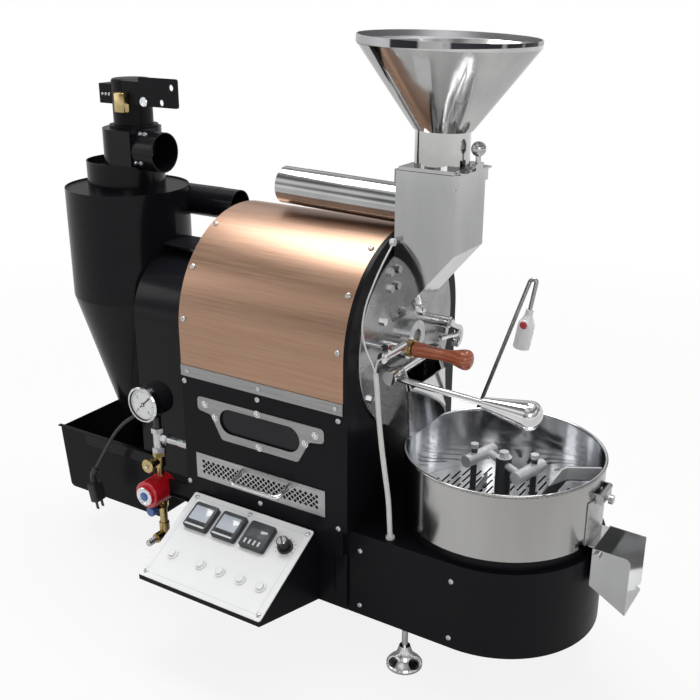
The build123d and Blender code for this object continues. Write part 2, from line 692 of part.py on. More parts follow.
pipe_dir = (-pipe_len, 0, pipe_rise)
with BuildPart() as exhaust_pipe:
    with BuildSketch(Plane(origin=(pipe_x0, ay, pipe_z), x_dir=(0, 1, 0), z_dir=pipe_dir)):
        Circle(pipe_r)
        Circle(pipe_r - thin, mode=Mode.SUBTRACT)
    extrude(amount=math.hypot(pipe_len, pipe_rise))
    split(bisect_by=front_plane(pipe_x0), keep=Keep.BOTTOM)
    # drawn-in end for the flue
    with BuildSketch(Plane(origin=(pipe_x0 - pipe_len, ay, pipe_z + pipe_rise),
                           x_dir=(0, 1, 0), z_dir=pipe_dir)):
        Circle(pipe_r + swage)
        Circle(pipe_r - swage, mode=Mode.SUBTRACT)
    extrude(amount=-swage_l, mode=Mode.SUBTRACT)
finish(exhaust_pipe.part, "exhaust_pipe")

# ------------------------------------------------------------------ front fittings
door_x, door_z = fx + 30.0, 479.0         # axis of the discharge door
door_shaft_r = 6.0
shaft_end = 5.0            # shaft beyond the far cheek
cheek_t = 3.0
mouth_y0, mouth_y1 = ay - 58.0, ay + 62.0      # inner faces of the discharge cheeks
cheek_top_x, cheek_top_z = fx + 45.0, 449.0
cheek_low_x, cheek_low_z = fx + 49.0, 368.5
chute_root_z = 386.0       # discharge floor at the face plate
ear_r = 10.0

with BuildPart() as discharge_mouth:
    for y in (mouth_y0 - cheek_t, mouth_y1):
        with BuildSketch(user_plane(y + cheek_t)):
            with BuildLine():
                Polyline((face_x, chute_root_z - 4), (face_x, door_z + 4),
                         (door_x, door_z + ear_r), (door_x + ear_r - 1, door_z - 4),
                         (cheek_top_x, cheek_top_z), (cheek_low_x, cheek_low_z), close=True)
            make_face()
            with Locations((door_x, door_z)):
                Circle(ear_r)
                Circle(door_shaft_r + turn_gap, mode=Mode.SUBTRACT)
        extrude(amount=cheek_t)
    # floor over the tray's rim
    with BuildSketch(user_plane(mouth_y1)):
        with BuildLine():
            Polyline((face_x, chute_root_z), (cheek_low_x, cheek_low_z + 1.5),
                     (cheek_low_x, cheek_low_z), (face_x, chute_root_z - 2), close=True)
        make_face()
    extrude(amount=mouth_y1 - mouth_y0)
finish(discharge_mouth.part, "discharge_mouth")

lever_y = ay - 85.0
lever_drop = 2.6           # lever below level, degrees
lever_r = 5.0
weight_start, weight_full, weight_end = 156.0, 226.0, 246.0
weight_r0, weight_r1 = 9.0, 22.0
leaf_t, leaf_gap = 2.0, 0.5
leaf_lean = math.degrees(math.atan2(cheek_low_x - cheek_top_x, cheek_top_z - cheek_low_z))
leaf_lap = 3.0             # door plate beyond the cheeks' inner faces
arm_w = 5.0
with BuildPart() as discharge_door:
    # shaft through both cheeks
    with BuildSketch(user_plane(mouth_y1 + cheek_t + shaft_end)):
        with Locations((door_x, door_z)):
            Circle(door_shaft_r)
    extrude(amount=mouth_y1 + cheek_t + shaft_end - lever_y + lever_r + 3)
    # plate in front of the cheeks and the two arms that carry it
    with BuildSketch(user_plane(mouth_y1 + leaf_lap)):
        with BuildLine():
            Polyline((cheek_top_x + leaf_gap, cheek_top_z),
                     (cheek_top_x + leaf_gap + leaf_t, cheek_top_z),
                     (cheek_low_x + leaf_gap + leaf_t, cheek_low_z + 1.0),
                     (cheek_low_x + leaf_gap, cheek_low_z + 1.0), close=True)
        make_face()
    extrude(amount=mouth_y1 - mouth_y0 + 2 * leaf_lap)
    for y in (mouth_y0 + 4 + arm_w, mouth_y1 - 4):
        with BuildSketch(user_plane(y)):
            with BuildLine():
                Polyline((door_x - 4, door_z - 4), (door_x + 4, door_z + 4),
                         (cheek_top_x + leaf_gap + leaf_t, cheek_top_z),
                         (cheek_top_x + leaf_gap + leaf_t, cheek_top_z - 14),
                         (cheek_top_x + leaf_gap - 3, cheek_top_z - 14), close=True)
            make_face()
        extrude(amount=arm_w)
    # clamp and lever rod
    with BuildSketch(user_plane(lever_y + 8)):
        with Locations((door_x, door_z)):
            Circle(door_shaft_r + 5)
    extrude(amount=16)
    reach = (math.cos(math.radians(lever_drop)), 0, -math.sin(math.radians(lever_drop)))
    with BuildSketch(Plane(origin=(door_x, lever_y, door_z), x_dir=(0, 1, 0), z_dir=reach)):
        Circle(lever_r)
    extrude(amount=weight_start + 10)
    # bullet weight
    with BuildSketch(Plane(origin=(door_x, lever_y, door_z), x_dir=reach,
                           z_dir=(0, -1, 0))):
        with BuildLine():
            Line((weight_start, 0), (weight_start, weight_r0))
            Line((weight_start, weight_r0), (weight_full, weight_r1))
            Spline((weight_full, weight_r1), (weight_end, 0), tangents=((1, 0.1), (0, -1)))
            Line((weight_end, 0), (weight_start, 0))
        make_face()
    revolve(axis=Axis((door_x, lever_y, door_z), reach))
finish(discharge_door.part, "discharge_door")

# sampling tube: a bush that turns in its boss, and the sampler that slides in the bush
bush_r, sampler_r = 11.0, 8.0
boss_x1 = fx + 39.0
bush_flange_t = 7.5
handle_x0 = boss_x1 + bush_flange_t + 2 * gap
handle_len = 99.0
sampler_in = 112.0         # sampler behind the front plane
probe_bar_x, probe_bar_z, probe_bar_r = fx + 40.0, 524.0, 7.0
bar_end_y = ay - 127.0
standoff_y, standoff_z, standoff_r = ay - 112.0, 537.5, 5.0
bolt_r, bolt_h = 6.5, 5.0
hook_y, hook_z = ay + 130.0, 483.0
hook_r, hook_w = 20.0, 8.0
pivot_y, pivot_z, pivot_r = ay + 88.0, 520.5, 9.4
tongue_y, tongue_z, tongue_r = ay + 73.0, 495.0, 4.0      # free end of the hook's bar
hook_x0, hook_x1 = fx + 26.0, fx + 42.0
stud_r = 4.0
with BuildPart() as front_fittings:
    # boss of the sampling tube
    with BuildSketch(front_plane(face_x)):
        with Locations((trier_y, trier_z)):
            Circle(bush_r + 6)
    extrude(amount=boss_x1 - face_x)
    # probe bar beside it with its standoff
    with BuildSketch(user_plane(trier_y - bush_r - 5)):
        with Locations((probe_bar_x - 3, probe_bar_z)):
            Circle(probe_bar_r)
    extrude(amount=trier_y - bush_r - 5 - bar_end_y)
    with BuildSketch(user_plane(bar_end_y + 5)):
        with Locations((probe_bar_x - 3, probe_bar_z)):
            Circle(probe_bar_r + 1.5)
    extrude(amount=4)
    with BuildSketch(front_plane(face_x)):
        with Locations((standoff_y, standoff_z)):
            Circle(standoff_r)
    extrude(amount=probe_bar_x + 2 - face_x)
    with BuildSketch(user_plane(standoff_y + 5)):
        with Locations((probe_bar_x - 3, (probe_bar_z + standoff_z) / 2)):
            RectangleRounded(10, standoff_z - probe_bar_z + 12, 3)
    extrude(amount=10)
    with BuildSketch(front_plane(face_x - 3 * sheet)):
        with Locations((trier_y, trier_z)):
            Circle(bush_r + turn_gap)
    extrude(amount=2 * boss_x1 - 2 * face_x, mode=Mode.SUBTRACT)
    # pivot stud of the latch hook, with its head
    with BuildSketch(front_plane(face_x)):
        with Locations((pivot_y, pivot_z)):
            Circle(stud_r)
    extrude(amount=hook_x1 + gap - face_x)
    with BuildSketch(front_plane(hook_x1 + gap)):
        with Locations((pivot_y, pivot_z)):
            RegularPolygon(stud_r + 3, 6)
    extrude(amount=bolt_h)
    # hexagon bolts on the face plate
    spots = [(-64, 118), (-118, -70), (42, 27), (36, 6),
             (-82, 45), (-62, 92), (118, 70), (128, -30)]
    with BuildSketch(front_plane(face_x)):
        with Locations(*[(ay + u, axis_z + v) for u, v in spots]):
            RegularPolygon(bolt_r, 6)
    extrude(amount=bolt_h)
finish(front_fittings.part, "front_fittings")

arm_end = (hook_y + 1, hook_z + hook_r - hook_w / 2)
arm_tilt = math.degrees(math.atan2(arm_end[1] - pivot_z, arm_end[0] - pivot_y))
bar_end = (hook_y + hook_r - hook_w / 2, hook_z - 2)
bar_dir = (0, tongue_y - bar_end[0], tongue_z - bar_end[1])
hook_t = 12.0
with BuildPart() as latch_hook:
    with BuildSketch(front_plane(hook_x0)):
        with Locations((hook_y, hook_z)):
            Circle(hook_r)
            Circle(hook_r - hook_w, mode=Mode.SUBTRACT)
            Rectangle(2 * hook_r, 2 * hook_r, align=(Align.MAX, Align.CENTER),
                      mode=Mode.SUBTRACT)
        with Locations(arm_end):
            Rectangle(math.dist(arm_end, (pivot_y, pivot_z)), hook_w, rotation=arm_tilt,
                      align=(Align.MAX, Align.CENTER))
    extrude(amount=hook_t)
    with BuildSketch(front_plane(face_x + gap)):
        with Locations((pivot_y, pivot_z)):
            Circle(pivot_r)
    extrude(amount=hook_x1 - face_x - gap)
    with BuildSketch(front_plane(face_x)):
        with Locations((pivot_y, pivot_z)):
            Circle(stud_r + turn_gap)
    extrude(amount=hook_x1 - face_x, mode=Mode.SUBTRACT)
    # straight bar across the hook's mouth
    with BuildSketch(Plane(origin=(hook_x0 + hook_t / 2, *bar_end), x_dir=(1, 0, 0),
                           z_dir=bar_dir)):
        Circle(tongue_r)
    extrude(amount=math.hypot(*bar_dir))
finish(latch_hook.part, "latch_hook")

with BuildPart() as trier_bush:
    with BuildSketch(front_plane(fx)):
        with Locations((trier_y, trier_z)):
            Circle(bush_r)
            Circle(sampler_r + turn_gap, mode=Mode.SUBTRACT)
    extrude(amount=boss_x1 - fx + gap + bush_flange_t)
    with BuildSketch(front_plane(boss_x1 + gap)):
        with Locations((trier_y, trier_z)):
            Circle(bush_r + 3)
            Circle(sampler_r + turn_gap, mode=Mode.SUBTRACT)
    extrude(amount=bush_flange_t)
finish(trier_bush.part, "trier_bush")

with BuildPart() as trier:
    with BuildSketch(front_plane(fx - sampler_in)):
        with Locations((trier_y, trier_z)):
            Circle(sampler_r)
    extrude(amount=sampler_in + handle_x0 - fx)
    # scoop, open on top
    with BuildSketch(front_plane(fx - sampler_in + 6)):
        with Locations((trier_y, trier_z)):
            Circle(sampler_r - thin)
        with Locations((trier_y, trier_z)):
            Rectangle(2 * (sampler_r - thin), 2 * sampler_r,
                      align=(Align.CENTER, Align.MIN))
    extrude(amount=70, mode=Mode.SUBTRACT)
finish(trier.part, "trier")

with BuildPart() as trier_handle:
    with BuildSketch(Plane(origin=(handle_x0, trier_y, trier_z), x_dir=(1, 0, 0),
                           z_dir=(0, -1, 0))):
        with BuildLine():
            Line((0, 0), (0, 10.5))
            Spline((0, 10.5), (9, 12.0), (handle_len * 0.34, 10.0),
                   (handle_len * 0.74, 12.6), (handle_len, 0),
                   tangents=((0.5, 1), (0, -1)))
            Line((handle_len, 0), (0, 0))
        make_face()
    revolve(axis=Axis((handle_x0, trier_y, trier_z), (1, 0, 0)))
finish(trier_handle.part, "trier_handle")

# ------------------------------------------------------------------ chaff drawer and burner
drawer_depth = 280.0
front_t = 1.5
drawer_x0 = drawer_mid_x - opening_w / 2 + slide_gap
drawer_x1 = drawer_mid_x + opening_w / 2 - slide_gap
drawer_top_z = floor_z + opening_h - slide_gap
drawer_box_z = floor_z + gap
front_y = user_y - gap - front_t          # outer face of the drawer front
mesh_r, mesh_px, mesh_pz = 3.6, 10.4, 7.2
pull_half, pull_out, pull_drop, pull_r = 47.0, 30.0, 10.0, 4.0
pull_x = fx - 148.0
pull_z = 296.0
with BuildPart() as chaff_drawer:
    block((drawer_x0, front_y, drawer_box_z),
          (drawer_x1, front_y + drawer_depth, drawer_top_z))
    block((drawer_x0 + thin, front_y + front_t, drawer_box_z + thin),
          (drawer_x1 - thin, front_y + drawer_depth - thin, drawer_top_z + 5),
          Mode.SUBTRACT)
    block((drawer_mid_x - drawer_w / 2, front_y, drawer_low_z),
          (drawer_mid_x + drawer_w / 2, front_y + front_t, drawer_low_z + drawer_h))
    # diamond mesh in the front
    columns = int((opening_w - 10) / mesh_px / 2)
    middle_z = floor_z + opening_h / 2
    spots = []
    for row in (-1, 0, 1):
        for i in range(-columns, columns + 1):
            spots.append((drawer_mid_x + i * mesh_px, middle_z + row * 2 * mesh_pz / 1.5))
    for row in (-0.5, 0.5):
        for i in range(-columns, columns):
            spots.append((drawer_mid_x + (i + 0.5) * mesh_px,
                          middle_z + row * 2 * mesh_pz / 1.5))
    with BuildSketch(user_plane(front_y)):
        with Locations(*spots):
            RegularPolygon(mesh_r, 4)
    extrude(amount=-front_t, mode=Mode.SUBTRACT)
    # bent pull
    with BuildLine() as pull:
        FilletPolyline((pull_x - pull_half, front_y, pull_z),
                       (pull_x - pull_half, front_y - pull_out, pull_z - pull_drop),
                       (pull_x + pull_half, front_y - pull_out, pull_z - pull_drop),
                       (pull_x + pull_half, front_y, pull_z), radius=9.0)
    with BuildSketch(Plane(origin=pull.line @ 0, z_dir=pull.line % 0)):
        Circle(pull_r)
    sweep(path=pull.line)
    block((pull_x - pull_half - 7, front_y, pull_z - 7),
          (pull_x - pull_half + 7, front_y + front_t, pull_z + 7))
    block((pull_x + pull_half - 7, front_y, pull_z - 7),
          (pull_x + pull_half + 7, front_y + front_t, pull_z + 7))
finish(chaff_drawer.part, "chaff_drawer")

burner_z, burner_r, burner_step = 328.0, 10.0, 60.0
feed_pipe_y, feed_pipe_z, feed_pipe_r = ay - 165.0, 303.0, 7.0
with BuildPart() as burner:
    for i in (-1, 0, 1):
        with BuildSketch(front_plane(back_x + sheet)):
            with Locations((ay + i * burner_step, burner_z)):
                Circle(burner_r)
        extrude(amount=cover_len - sheet)
    # manifold across the bars
    with BuildSketch(user_plane(ay + burner_step)):
        with Locations((back_x + 26.0, burner_z)):
            Circle(burner_r - 2)
    extrude(amount=2 * burner_step)
finish(burner.part, "burner")

# ------------------------------------------------------------------ rear housing and chaff bin
housing_r, housing_z = 107.0, 487.0
housing_len, housing_low_z, housing_t = 168.0, 230.0, 2.5
bin_half, bin_high_z, bin_low_z = 103.5, 225.0, 92.0
bin_flange, bin_flange_t = 6.5, 2.0
bin_x1 = fx - bin_ahead
bin_x0 = bin_x1 - bin_len
bin_lean = 14.0            # rear wall's foot, in from its rim
bin_t = 1.5
notch_gap = 1.0            # between the housing's recess and the cyclone
rail_x0 = fx - 640.0
rail_t = 3.0
rail_low_z = 200.0
gland_x, gland_z, gland_r = fx - 440.0, 330.0, 9.0

with BuildPart() as housing_room:
    with BuildSketch(front_plane(back_x - housing_len + housing_t)):
        with Locations((ay, housing_low_z + housing_t)):
            Rectangle(2 * (housing_r - housing_t), housing_z - housing_low_z - housing_t,
                      align=(Align.CENTER, Align.MIN))
        with Locations((ay, housing_z)):
            Circle(housing_r - housing_t)
    extrude(amount=housing_len)
    with Locations((cyc_x, ay, housing_low_z)):
        Cylinder(cyc_r + notch_gap + housing_t, housing_z, align=MID, mode=Mode.SUBTRACT)

with BuildPart() as rear_housing:
    with BuildSketch(front_plane(back_x - housing_len)):
        with Locations((ay, housing_low_z)):
            Rectangle(2 * housing_r, housing_z - housing_low_z,
                      align=(Align.CENTER, Align.MIN))
        with Locations((ay, housing_z)):
            Circle(housing_r)
    extrude(amount=housing_len)
    # rounded recess for the cyclone
    with Locations((cyc_x, ay, housing_low_z)):
        Cylinder(cyc_r + notch_gap, housing_z, align=MID, mode=Mode.SUBTRACT)
    add(housing_room.part, mode=Mode.SUBTRACT)
    # rails that carry the chaff bin by its flanges
    for side in (-1, 1):
        y0 = ay + side * (bin_half + slide_gap)
        y1 = y0 + side * rail_t
        block((rail_x0, min(y0, y1), rail_low_z),
              (back_x, max(y0, y1), bin_high_z - bin_flange_t - gap))
        block((bin_x1 + 2 * slide_gap, min(y0, y1), rail_low_z),
              (back_x, max(y0, y1), housing_low_z + 4))
    # hole for the cord's gland
    with BuildSketch(user_plane(ay - housing_r)):
        with Locations((gland_x, gland_z)):
            Circle(gland_r)
    extrude(amount=-housing_t, mode=Mode.SUBTRACT)
finish(rear_housing.part, "rear_housing")

with BuildPart() as chaff_bin:
    with BuildSketch(user_plane(ay + bin_half)) as outline:
        with BuildLine():
            Polyline((bin_x0, bin_high_z), (bin_x1, bin_high_z), (bin_x1, bin_low_z),
                     (bin_x0 + bin_lean, bin_low_z), close=True)
        make_face()
        fillet(outline.vertices().group_by(Axis.Z)[0], 10.0)
    extrude(amount=2 * bin_half)
    with BuildSketch(user_plane(ay + bin_half - bin_t)) as outline:
        with BuildLine():
            Polyline((bin_x0 + bin_t, bin_high_z + 1), (bin_x1 - bin_t, bin_high_z + 1),
                     (bin_x1 - bin_t, bin_low_z + bin_t),
                     (bin_x0 + bin_lean + bin_t, bin_low_z + bin_t), close=True)
        make_face()
        fillet(outline.vertices().group_by(Axis.Z)[0], 8.5)
    extrude(amount=2 * (bin_half - bin_t), mode=Mode.SUBTRACT)
    for side in (-1, 1):
        y0 = ay + side * (bin_half - bin_t / 2)
        y1 = ay + side * (bin_half + bin_flange)
        block((bin_x0, min(y0, y1), bin_high_z - bin_flange_t), (bin_x1, max(y0, y1), bin_high_z))
finish(chaff_bin.part, "chaff_bin")

# ------------------------------------------------------------------ cyclone and blower
cyc_low_z, cyc_high_z = 499.0, 699.0
tip_r, tip_z = 36.0, 229.0
cyc_t = 2.0
lid_drop = 2.5
collar_r, collar_high_z = 70.0, 746.0
seat_z = 731.0             # where the blower stands, inside the collar
vortex_r, vortex_low_z = 38.0, 560.0
blow_x, suction_r = fx - 555.0, 30.0       # blower's axis and its suction hole
inlet_r, inlet_t = 28.0, 1.4
inlet_x1, inlet_y, inlet_z = fx - 387.0, ay + 83.0, 667.6

with BuildPart() as cyclone_body:
    with Locations((cyc_x, ay, tip_z)):
        Cone(tip_r, cyc_r, cyc_low_z - tip_z, align=MID)
    with Locations((cyc_x, ay, cyc_low_z)):
        Cylinder(cyc_r, cyc_high_z - cyc_low_z, align=MID)
    with Locations((cyc_x, ay, cyc_high_z - lid_drop)):
        Cylinder(collar_r, collar_high_z - cyc_high_z + lid_drop, align=MID)
    # inlet duct, tangent to the far wall
    with BuildSketch(front_plane(cyc_x)):
        with Locations((inlet_y, inlet_z)):
            Circle(inlet_r + swage)
    extrude(amount=inlet_x1 - swage_l - cyc_x)
    with BuildSketch(front_plane(inlet_x1 - swage_l)):
        with Locations((inlet_y, inlet_z)):
            Circle(inlet_r)
    extrude(amount=swage_l)
    # inside of the cone, the drum and the collar
    with Locations((cyc_x, ay, tip_z)):
        Cone(tip_r - cyc_t, cyc_r - cyc_t, cyc_low_z - tip_z, align=MID, mode=Mode.SUBTRACT)
    with Locations((cyc_x, ay, cyc_low_z)):
        Cylinder(cyc_r - cyc_t, cyc_high_z - lid_drop - cyc_t - cyc_low_z, align=MID,
                 mode=Mode.SUBTRACT)
    with BuildSketch(Plane.XY.offset(cyc_high_z)):
        with Locations((cyc_x, ay)):
            Circle(cyc_r - cyc_t)
            Circle(collar_r, mode=Mode.SUBTRACT)
    extrude(amount=-lid_drop, mode=Mode.SUBTRACT)
    with Locations((cyc_x, ay, seat_z)):
        Cylinder(collar_r - cyc_t, collar_high_z, align=MID, mode=Mode.SUBTRACT)
    with Locations((cyc_x, ay, cyc_high_z)):
        Cylinder(collar_r - cyc_t, seat_z - cyc_high_z - cyc_t, align=MID,
                 mode=Mode.SUBTRACT)
    # vortex tube from the lid, and the blower's suction hole in the seat
    with Locations((cyc_x, ay, vortex_low_z)):
        Cylinder(vortex_r, cyc_high_z - lid_drop - vortex_low_z, align=MID)
    with Locations((cyc_x, ay, vortex_low_z)):
        Cylinder(vortex_r - cyc_t, cyc_high_z + cyc_t - vortex_low_z, align=MID,
                 mode=Mode.SUBTRACT)
    with Locations((blow_x, ay, seat_z)):
        Cylinder(suction_r, 2 * cyc_t, align=TOP, mode=Mode.SUBTRACT)
    with BuildSketch(front_plane(inlet_x1)):
        with Locations((inlet_y, inlet_z)):
            Circle(inlet_r - inlet_t)
    extrude(amount=cyc_x - inlet_x1, mode=Mode.SUBTRACT)
finish(cyclone_body.part, "cyclone_body")

shelf_half, shelf_z, shelf_t = 32.0, 612.0, 4.0
with BuildPart() as cyclone_shelf:
    with BuildSketch(Plane.XY.offset(shelf_z - shelf_t)):
        with Locations((back_x, ay)):
            Rectangle(back_x - cyc_x, 2 * shelf_half, align=(Align.MAX, Align.CENTER))
        with Locations((cyc_x, ay)):
            Circle(cyc_r + 0.1, mode=Mode.SUBTRACT)
    extrude(amount=shelf_t)
    # upright flange on the rear wall
    block((back_x - shelf_t, ay - shelf_half, shelf_z - 14), (back_x, ay + shelf_half, shelf_z))
finish(cyclone_shelf.part, "cyclone_shelf")

volute_r, volute_low_z, volute_high_z, volute_t = 48.0, seat_z, 807.0, 2.0
scroll_r = 63.0            # widest part of the scroll, towards the outlet
scroll_x1 = fx - 507.0
mouth_r, mouth_y, mouth_z = 34.5, ay - 27.0, 771.0
mouth_x1 = fx - 461.0
motor_r, motor_high_z = 35.0, 890.0
motor_shaft_r = 5.0


def scroll_outline(inset):
    """Scroll seen from above, as a sketch on the XY plane; inset is the wall."""
    with BuildSketch() as outline:
        with Locations((blow_x, ay)):
            Ellipse(volute_r - inset, scroll_r - inset)
            Rectangle(2 * scroll_r, scroll_r, align=(Align.CENTER, Align.MIN),
                      mode=Mode.SUBTRACT)
            Circle(volute_r - inset)
        with Locations((blow_x, ay - scroll_r + inset)):
            Rectangle(scroll_x1 - blow_x - inset, mouth_y + mouth_r + 1 - ay + scroll_r
                      - 2 * inset, align=(Align.MIN, Align.MIN))
    return outline.sketch


def scroll_foot(inset):
    """The part of the scroll that fits inside the collar."""
    with BuildSketch() as outline:
        with Locations((blow_x, ay)):
            Circle(volute_r - inset)
        with Locations((cyc_x, ay)):
            Circle(collar_r - cyc_t - gap - inset, mode=Mode.INTERSECT)
    return outline.sketch


scroll_low_z = collar_high_z + gap
outside, inside = scroll_outline(0), scroll_outline(volute_t)
foot_outside, foot_inside = scroll_foot(0.5), scroll_foot(volute_t + 0.5)
with BuildPart() as blower_volute:
    with BuildSketch(Plane.XY.offset(scroll_low_z)):
        add(outside)
    extrude(amount=volute_high_z - scroll_low_z)
    # foot that stands in the collar
    with BuildSketch(Plane.XY.offset(volute_low_z)):
        add(foot_outside)
    extrude(amount=scroll_low_z - volute_low_z)
    # round outlet, on the user's side of the scroll
    with BuildSketch(front_plane(scroll_x1 - 2 * volute_t)):
        with Locations((mouth_y, mouth_z)):
            Circle(mouth_r + swage)
    extrude(amount=mouth_x1 - swage_l - scroll_x1 + 2 * volute_t)
    with BuildSketch(front_plane(mouth_x1 - swage_l)):
        with Locations((mouth_y, mouth_z)):
            Circle(mouth_r)
    extrude(amount=swage_l)
    # inside of the scroll, of the foot and of the outlet
    with BuildSketch(Plane.XY.offset(scroll_low_z + volute_t)):
        add(inside)
    extrude(amount=volute_high_z - scroll_low_z - 2 * volute_t, mode=Mode.SUBTRACT)
    with BuildSketch(Plane.XY.offset(volute_low_z + volute_t)):
        add(foot_inside)
    extrude(amount=scroll_low_z - volute_low_z, mode=Mode.SUBTRACT)
    with BuildSketch(front_plane(scroll_x1 - volute_t)):
        with Locations((mouth_y, mouth_z)):
            Circle(mouth_r - volute_t)
    extrude(amount=mouth_x1 - scroll_x1 + volute_t, mode=Mode.SUBTRACT)
    # suction hole below and shaft hole above
    with Locations((blow_x, ay, volute_low_z)):
        Cylinder(suction_r, volute_t, align=MID, mode=Mode.SUBTRACT)
    with Locations((blow_x, ay, volute_high_z)):
        Cylinder(motor_shaft_r + 3, volute_t, align=TOP, mode=Mode.SUBTRACT)
finish(blower_volute.part, "blower_volute")

wheel_r, wheel_h, wheel_t, wheel_blades = 38.0, 42.0, 2.0, 10
wheel_high_z = volute_high_z - volute_t - 8
wheel_hub_r, blade_l, blade_t = 12.0, 17.0, 1.6
with BuildPart() as blower_wheel:
    with Locations((blow_x, ay, wheel_high_z)):
        Cylinder(wheel_r, wheel_t, align=TOP)
    with Locations((blow_x, ay, wheel_high_z)):
        Cylinder(wheel_hub_r, wheel_h, align=TOP)
    with Locations((blow_x, ay, wheel_high_z)):
        Cylinder(motor_shaft_r, volute_t + 8 + 12, align=MID)
    with BuildSketch(Plane.XY.offset(wheel_high_z - wheel_h)):
        with Locations((blow_x, ay)):
            with PolarLocations(wheel_r - blade_l / 2, wheel_blades):
                Rectangle(blade_l, blade_t, rotation=35)
    extrude(amount=wheel_h)
finish(blower_wheel.part, "blower_wheel")

plate_y, bracket_t = ay - 40.0, 4.0
bracket_x, bracket_z, bracket_w, bracket_h = fx - 457.0, 873.0, 86.0, 48.0
bracket_holes = [(fx - 450.6, 856.7), (fx - 427.5, 882.5)]
bracket_hole_r = 5.5
motor_arm_low, motor_arm_high = 850.0, 889.0       # arm from the motor to its plate
terminal_low, terminal_high = 846.0, 880.0         # terminal box on the motor's far side
terminal_reach, terminal_sink = 22.0, 8.0
with BuildPart() as blower_motor:
    with Locations((blow_x, ay, volute_high_z)):
        Cylinder(motor_r + 8, 4, align=MID)
    with Locations((blow_x, ay, volute_high_z)):
        Cylinder(motor_r, motor_high_z - volute_high_z, align=MID)
    fillet(blower_motor.edges().filter_by(GeomType.CIRCLE).sort_by(Axis.Z)[-1], 5.0)
    with Locations((blow_x, ay, volute_high_z)):
        Cylinder(motor_shaft_r + turn_gap, 14, align=MID, mode=Mode.SUBTRACT)
    # mounting plate with two bolt holes, its arm, and the terminal box
    with BuildSketch(user_plane(plate_y + bracket_t)):
        with Locations((bracket_x, bracket_z)):
            RectangleRounded(bracket_w, bracket_h, 4)
        with Locations(*bracket_holes):
            Circle(bracket_hole_r, mode=Mode.SUBTRACT)
    extrude(amount=bracket_t)
    block((blow_x + motor_r - 20, plate_y + 0.5, motor_arm_low),
          (blow_x + motor_r + 32, ay - 20, motor_arm_high))
    block((blow_x - motor_r - terminal_reach, ay - 22, terminal_low),
          (blow_x - motor_r + terminal_sink, ay + 14, terminal_high))
finish(blower_motor.part, "blower_motor")

# ------------------------------------------------------------------ gas train
gauge_r, gauge_z = 32.0, 375.0
gauge_front, gauge_back = 35.0, 13.0    # gauge case, ahead of and behind the gas column
gauge_y0, gauge_y1 = col_y - gauge_front, col_y + gauge_back
dial_r, dial_in = 28.0, 4.0
tee_low_z, tee_high_z, tee_r = 275.0, 321.0, 11.0
valve_low_z = 247.0
valve_z = 258.0
reg_front, reg_back = 45.0, 15.0        # regulator, ahead of and behind the gas column
reg_y0, reg_y1 = col_y - reg_front, col_y + reg_back
elbow_z, elbow_r = 110.0, 9.0
barb_reach = 43.0
barb_y0 = col_y - barb_reach
small_z = 168.5

with BuildPart() as gauge_case:
    with BuildSketch(user_plane(gauge_y1)):
        with Locations((col_x, gauge_z)):
            Circle(gauge_r - 3)
    extrude(amount=gauge_y1 - gauge_y0)
    with BuildSketch(user_plane(gauge_y0 + 14)):
        with Locations((col_x, gauge_z)):
            Circle(gauge_r)
    extrude(amount=14)
    chamfer(gauge_case.faces().sort_by(Axis.Y)[0].outer_wire().edges(), 2.0)
    with BuildSketch(user_plane(gauge_y0 + dial_in)):
        with Locations((col_x, gauge_z)):
            Circle(dial_r)
    extrude(amount=dial_in, mode=Mode.SUBTRACT)
    with BuildSketch(user_plane(gauge_y0 + dial_in)):
        with Locations((col_x, gauge_z)):
            Circle(2.0)
    extrude(amount=2.0)
    # stem down to the tee
    with Locations((col_x, col_y, tee_high_z)):
        Cylinder(7.0, gauge_z - gauge_r + 8 - tee_high_z, align=MID)
finish(gauge_case.part, "gauge_case")

with BuildPart() as gauge_needle:
    with BuildSketch(user_plane(gauge_y0 + dial_in - 0.8)) as hand:
        with Locations((col_x, gauge_z)):
            Circle(3.5)
            Rectangle(1.8, 22, align=(Align.CENTER, Align.MIN), rotation=-47)
            Rectangle(1.8, 9, align=(Align.CENTER, Align.MAX), rotation=-47)
            Circle(2.0 + turn_gap, mode=Mode.SUBTRACT)
    extrude(amount=0.8)
finish(gauge_needle.part, "gauge_needle")

with BuildPart() as gas_fittings:
    # tee with its hexagon collars and the pipe into the body
    with Locations((col_x, col_y, tee_low_z)):
        Cylinder(tee_r - 2, tee_high_z - tee_low_z, align=MID)
    for z in (tee_low_z, tee_high_z - 9):
        with BuildSketch(Plane.XY.offset(z)):
            with Locations((col_x, col_y)):
                RegularPolygon(tee_r + 1, 6)
        extrude(amount=9)
    with BuildSketch(front_plane(col_x)):
        with Locations((col_y, feed_pipe_z)):
            Circle(feed_pipe_r)
    extrude(amount=back_x - col_x)
    with BuildSketch(front_plane(col_x + 14)):
        with Locations((col_y, feed_pipe_z)):
            RegularPolygon(feed_pipe_r + 3, 6)
    extrude(amount=9)
finish(gas_fittings.part, "gas_fittings")

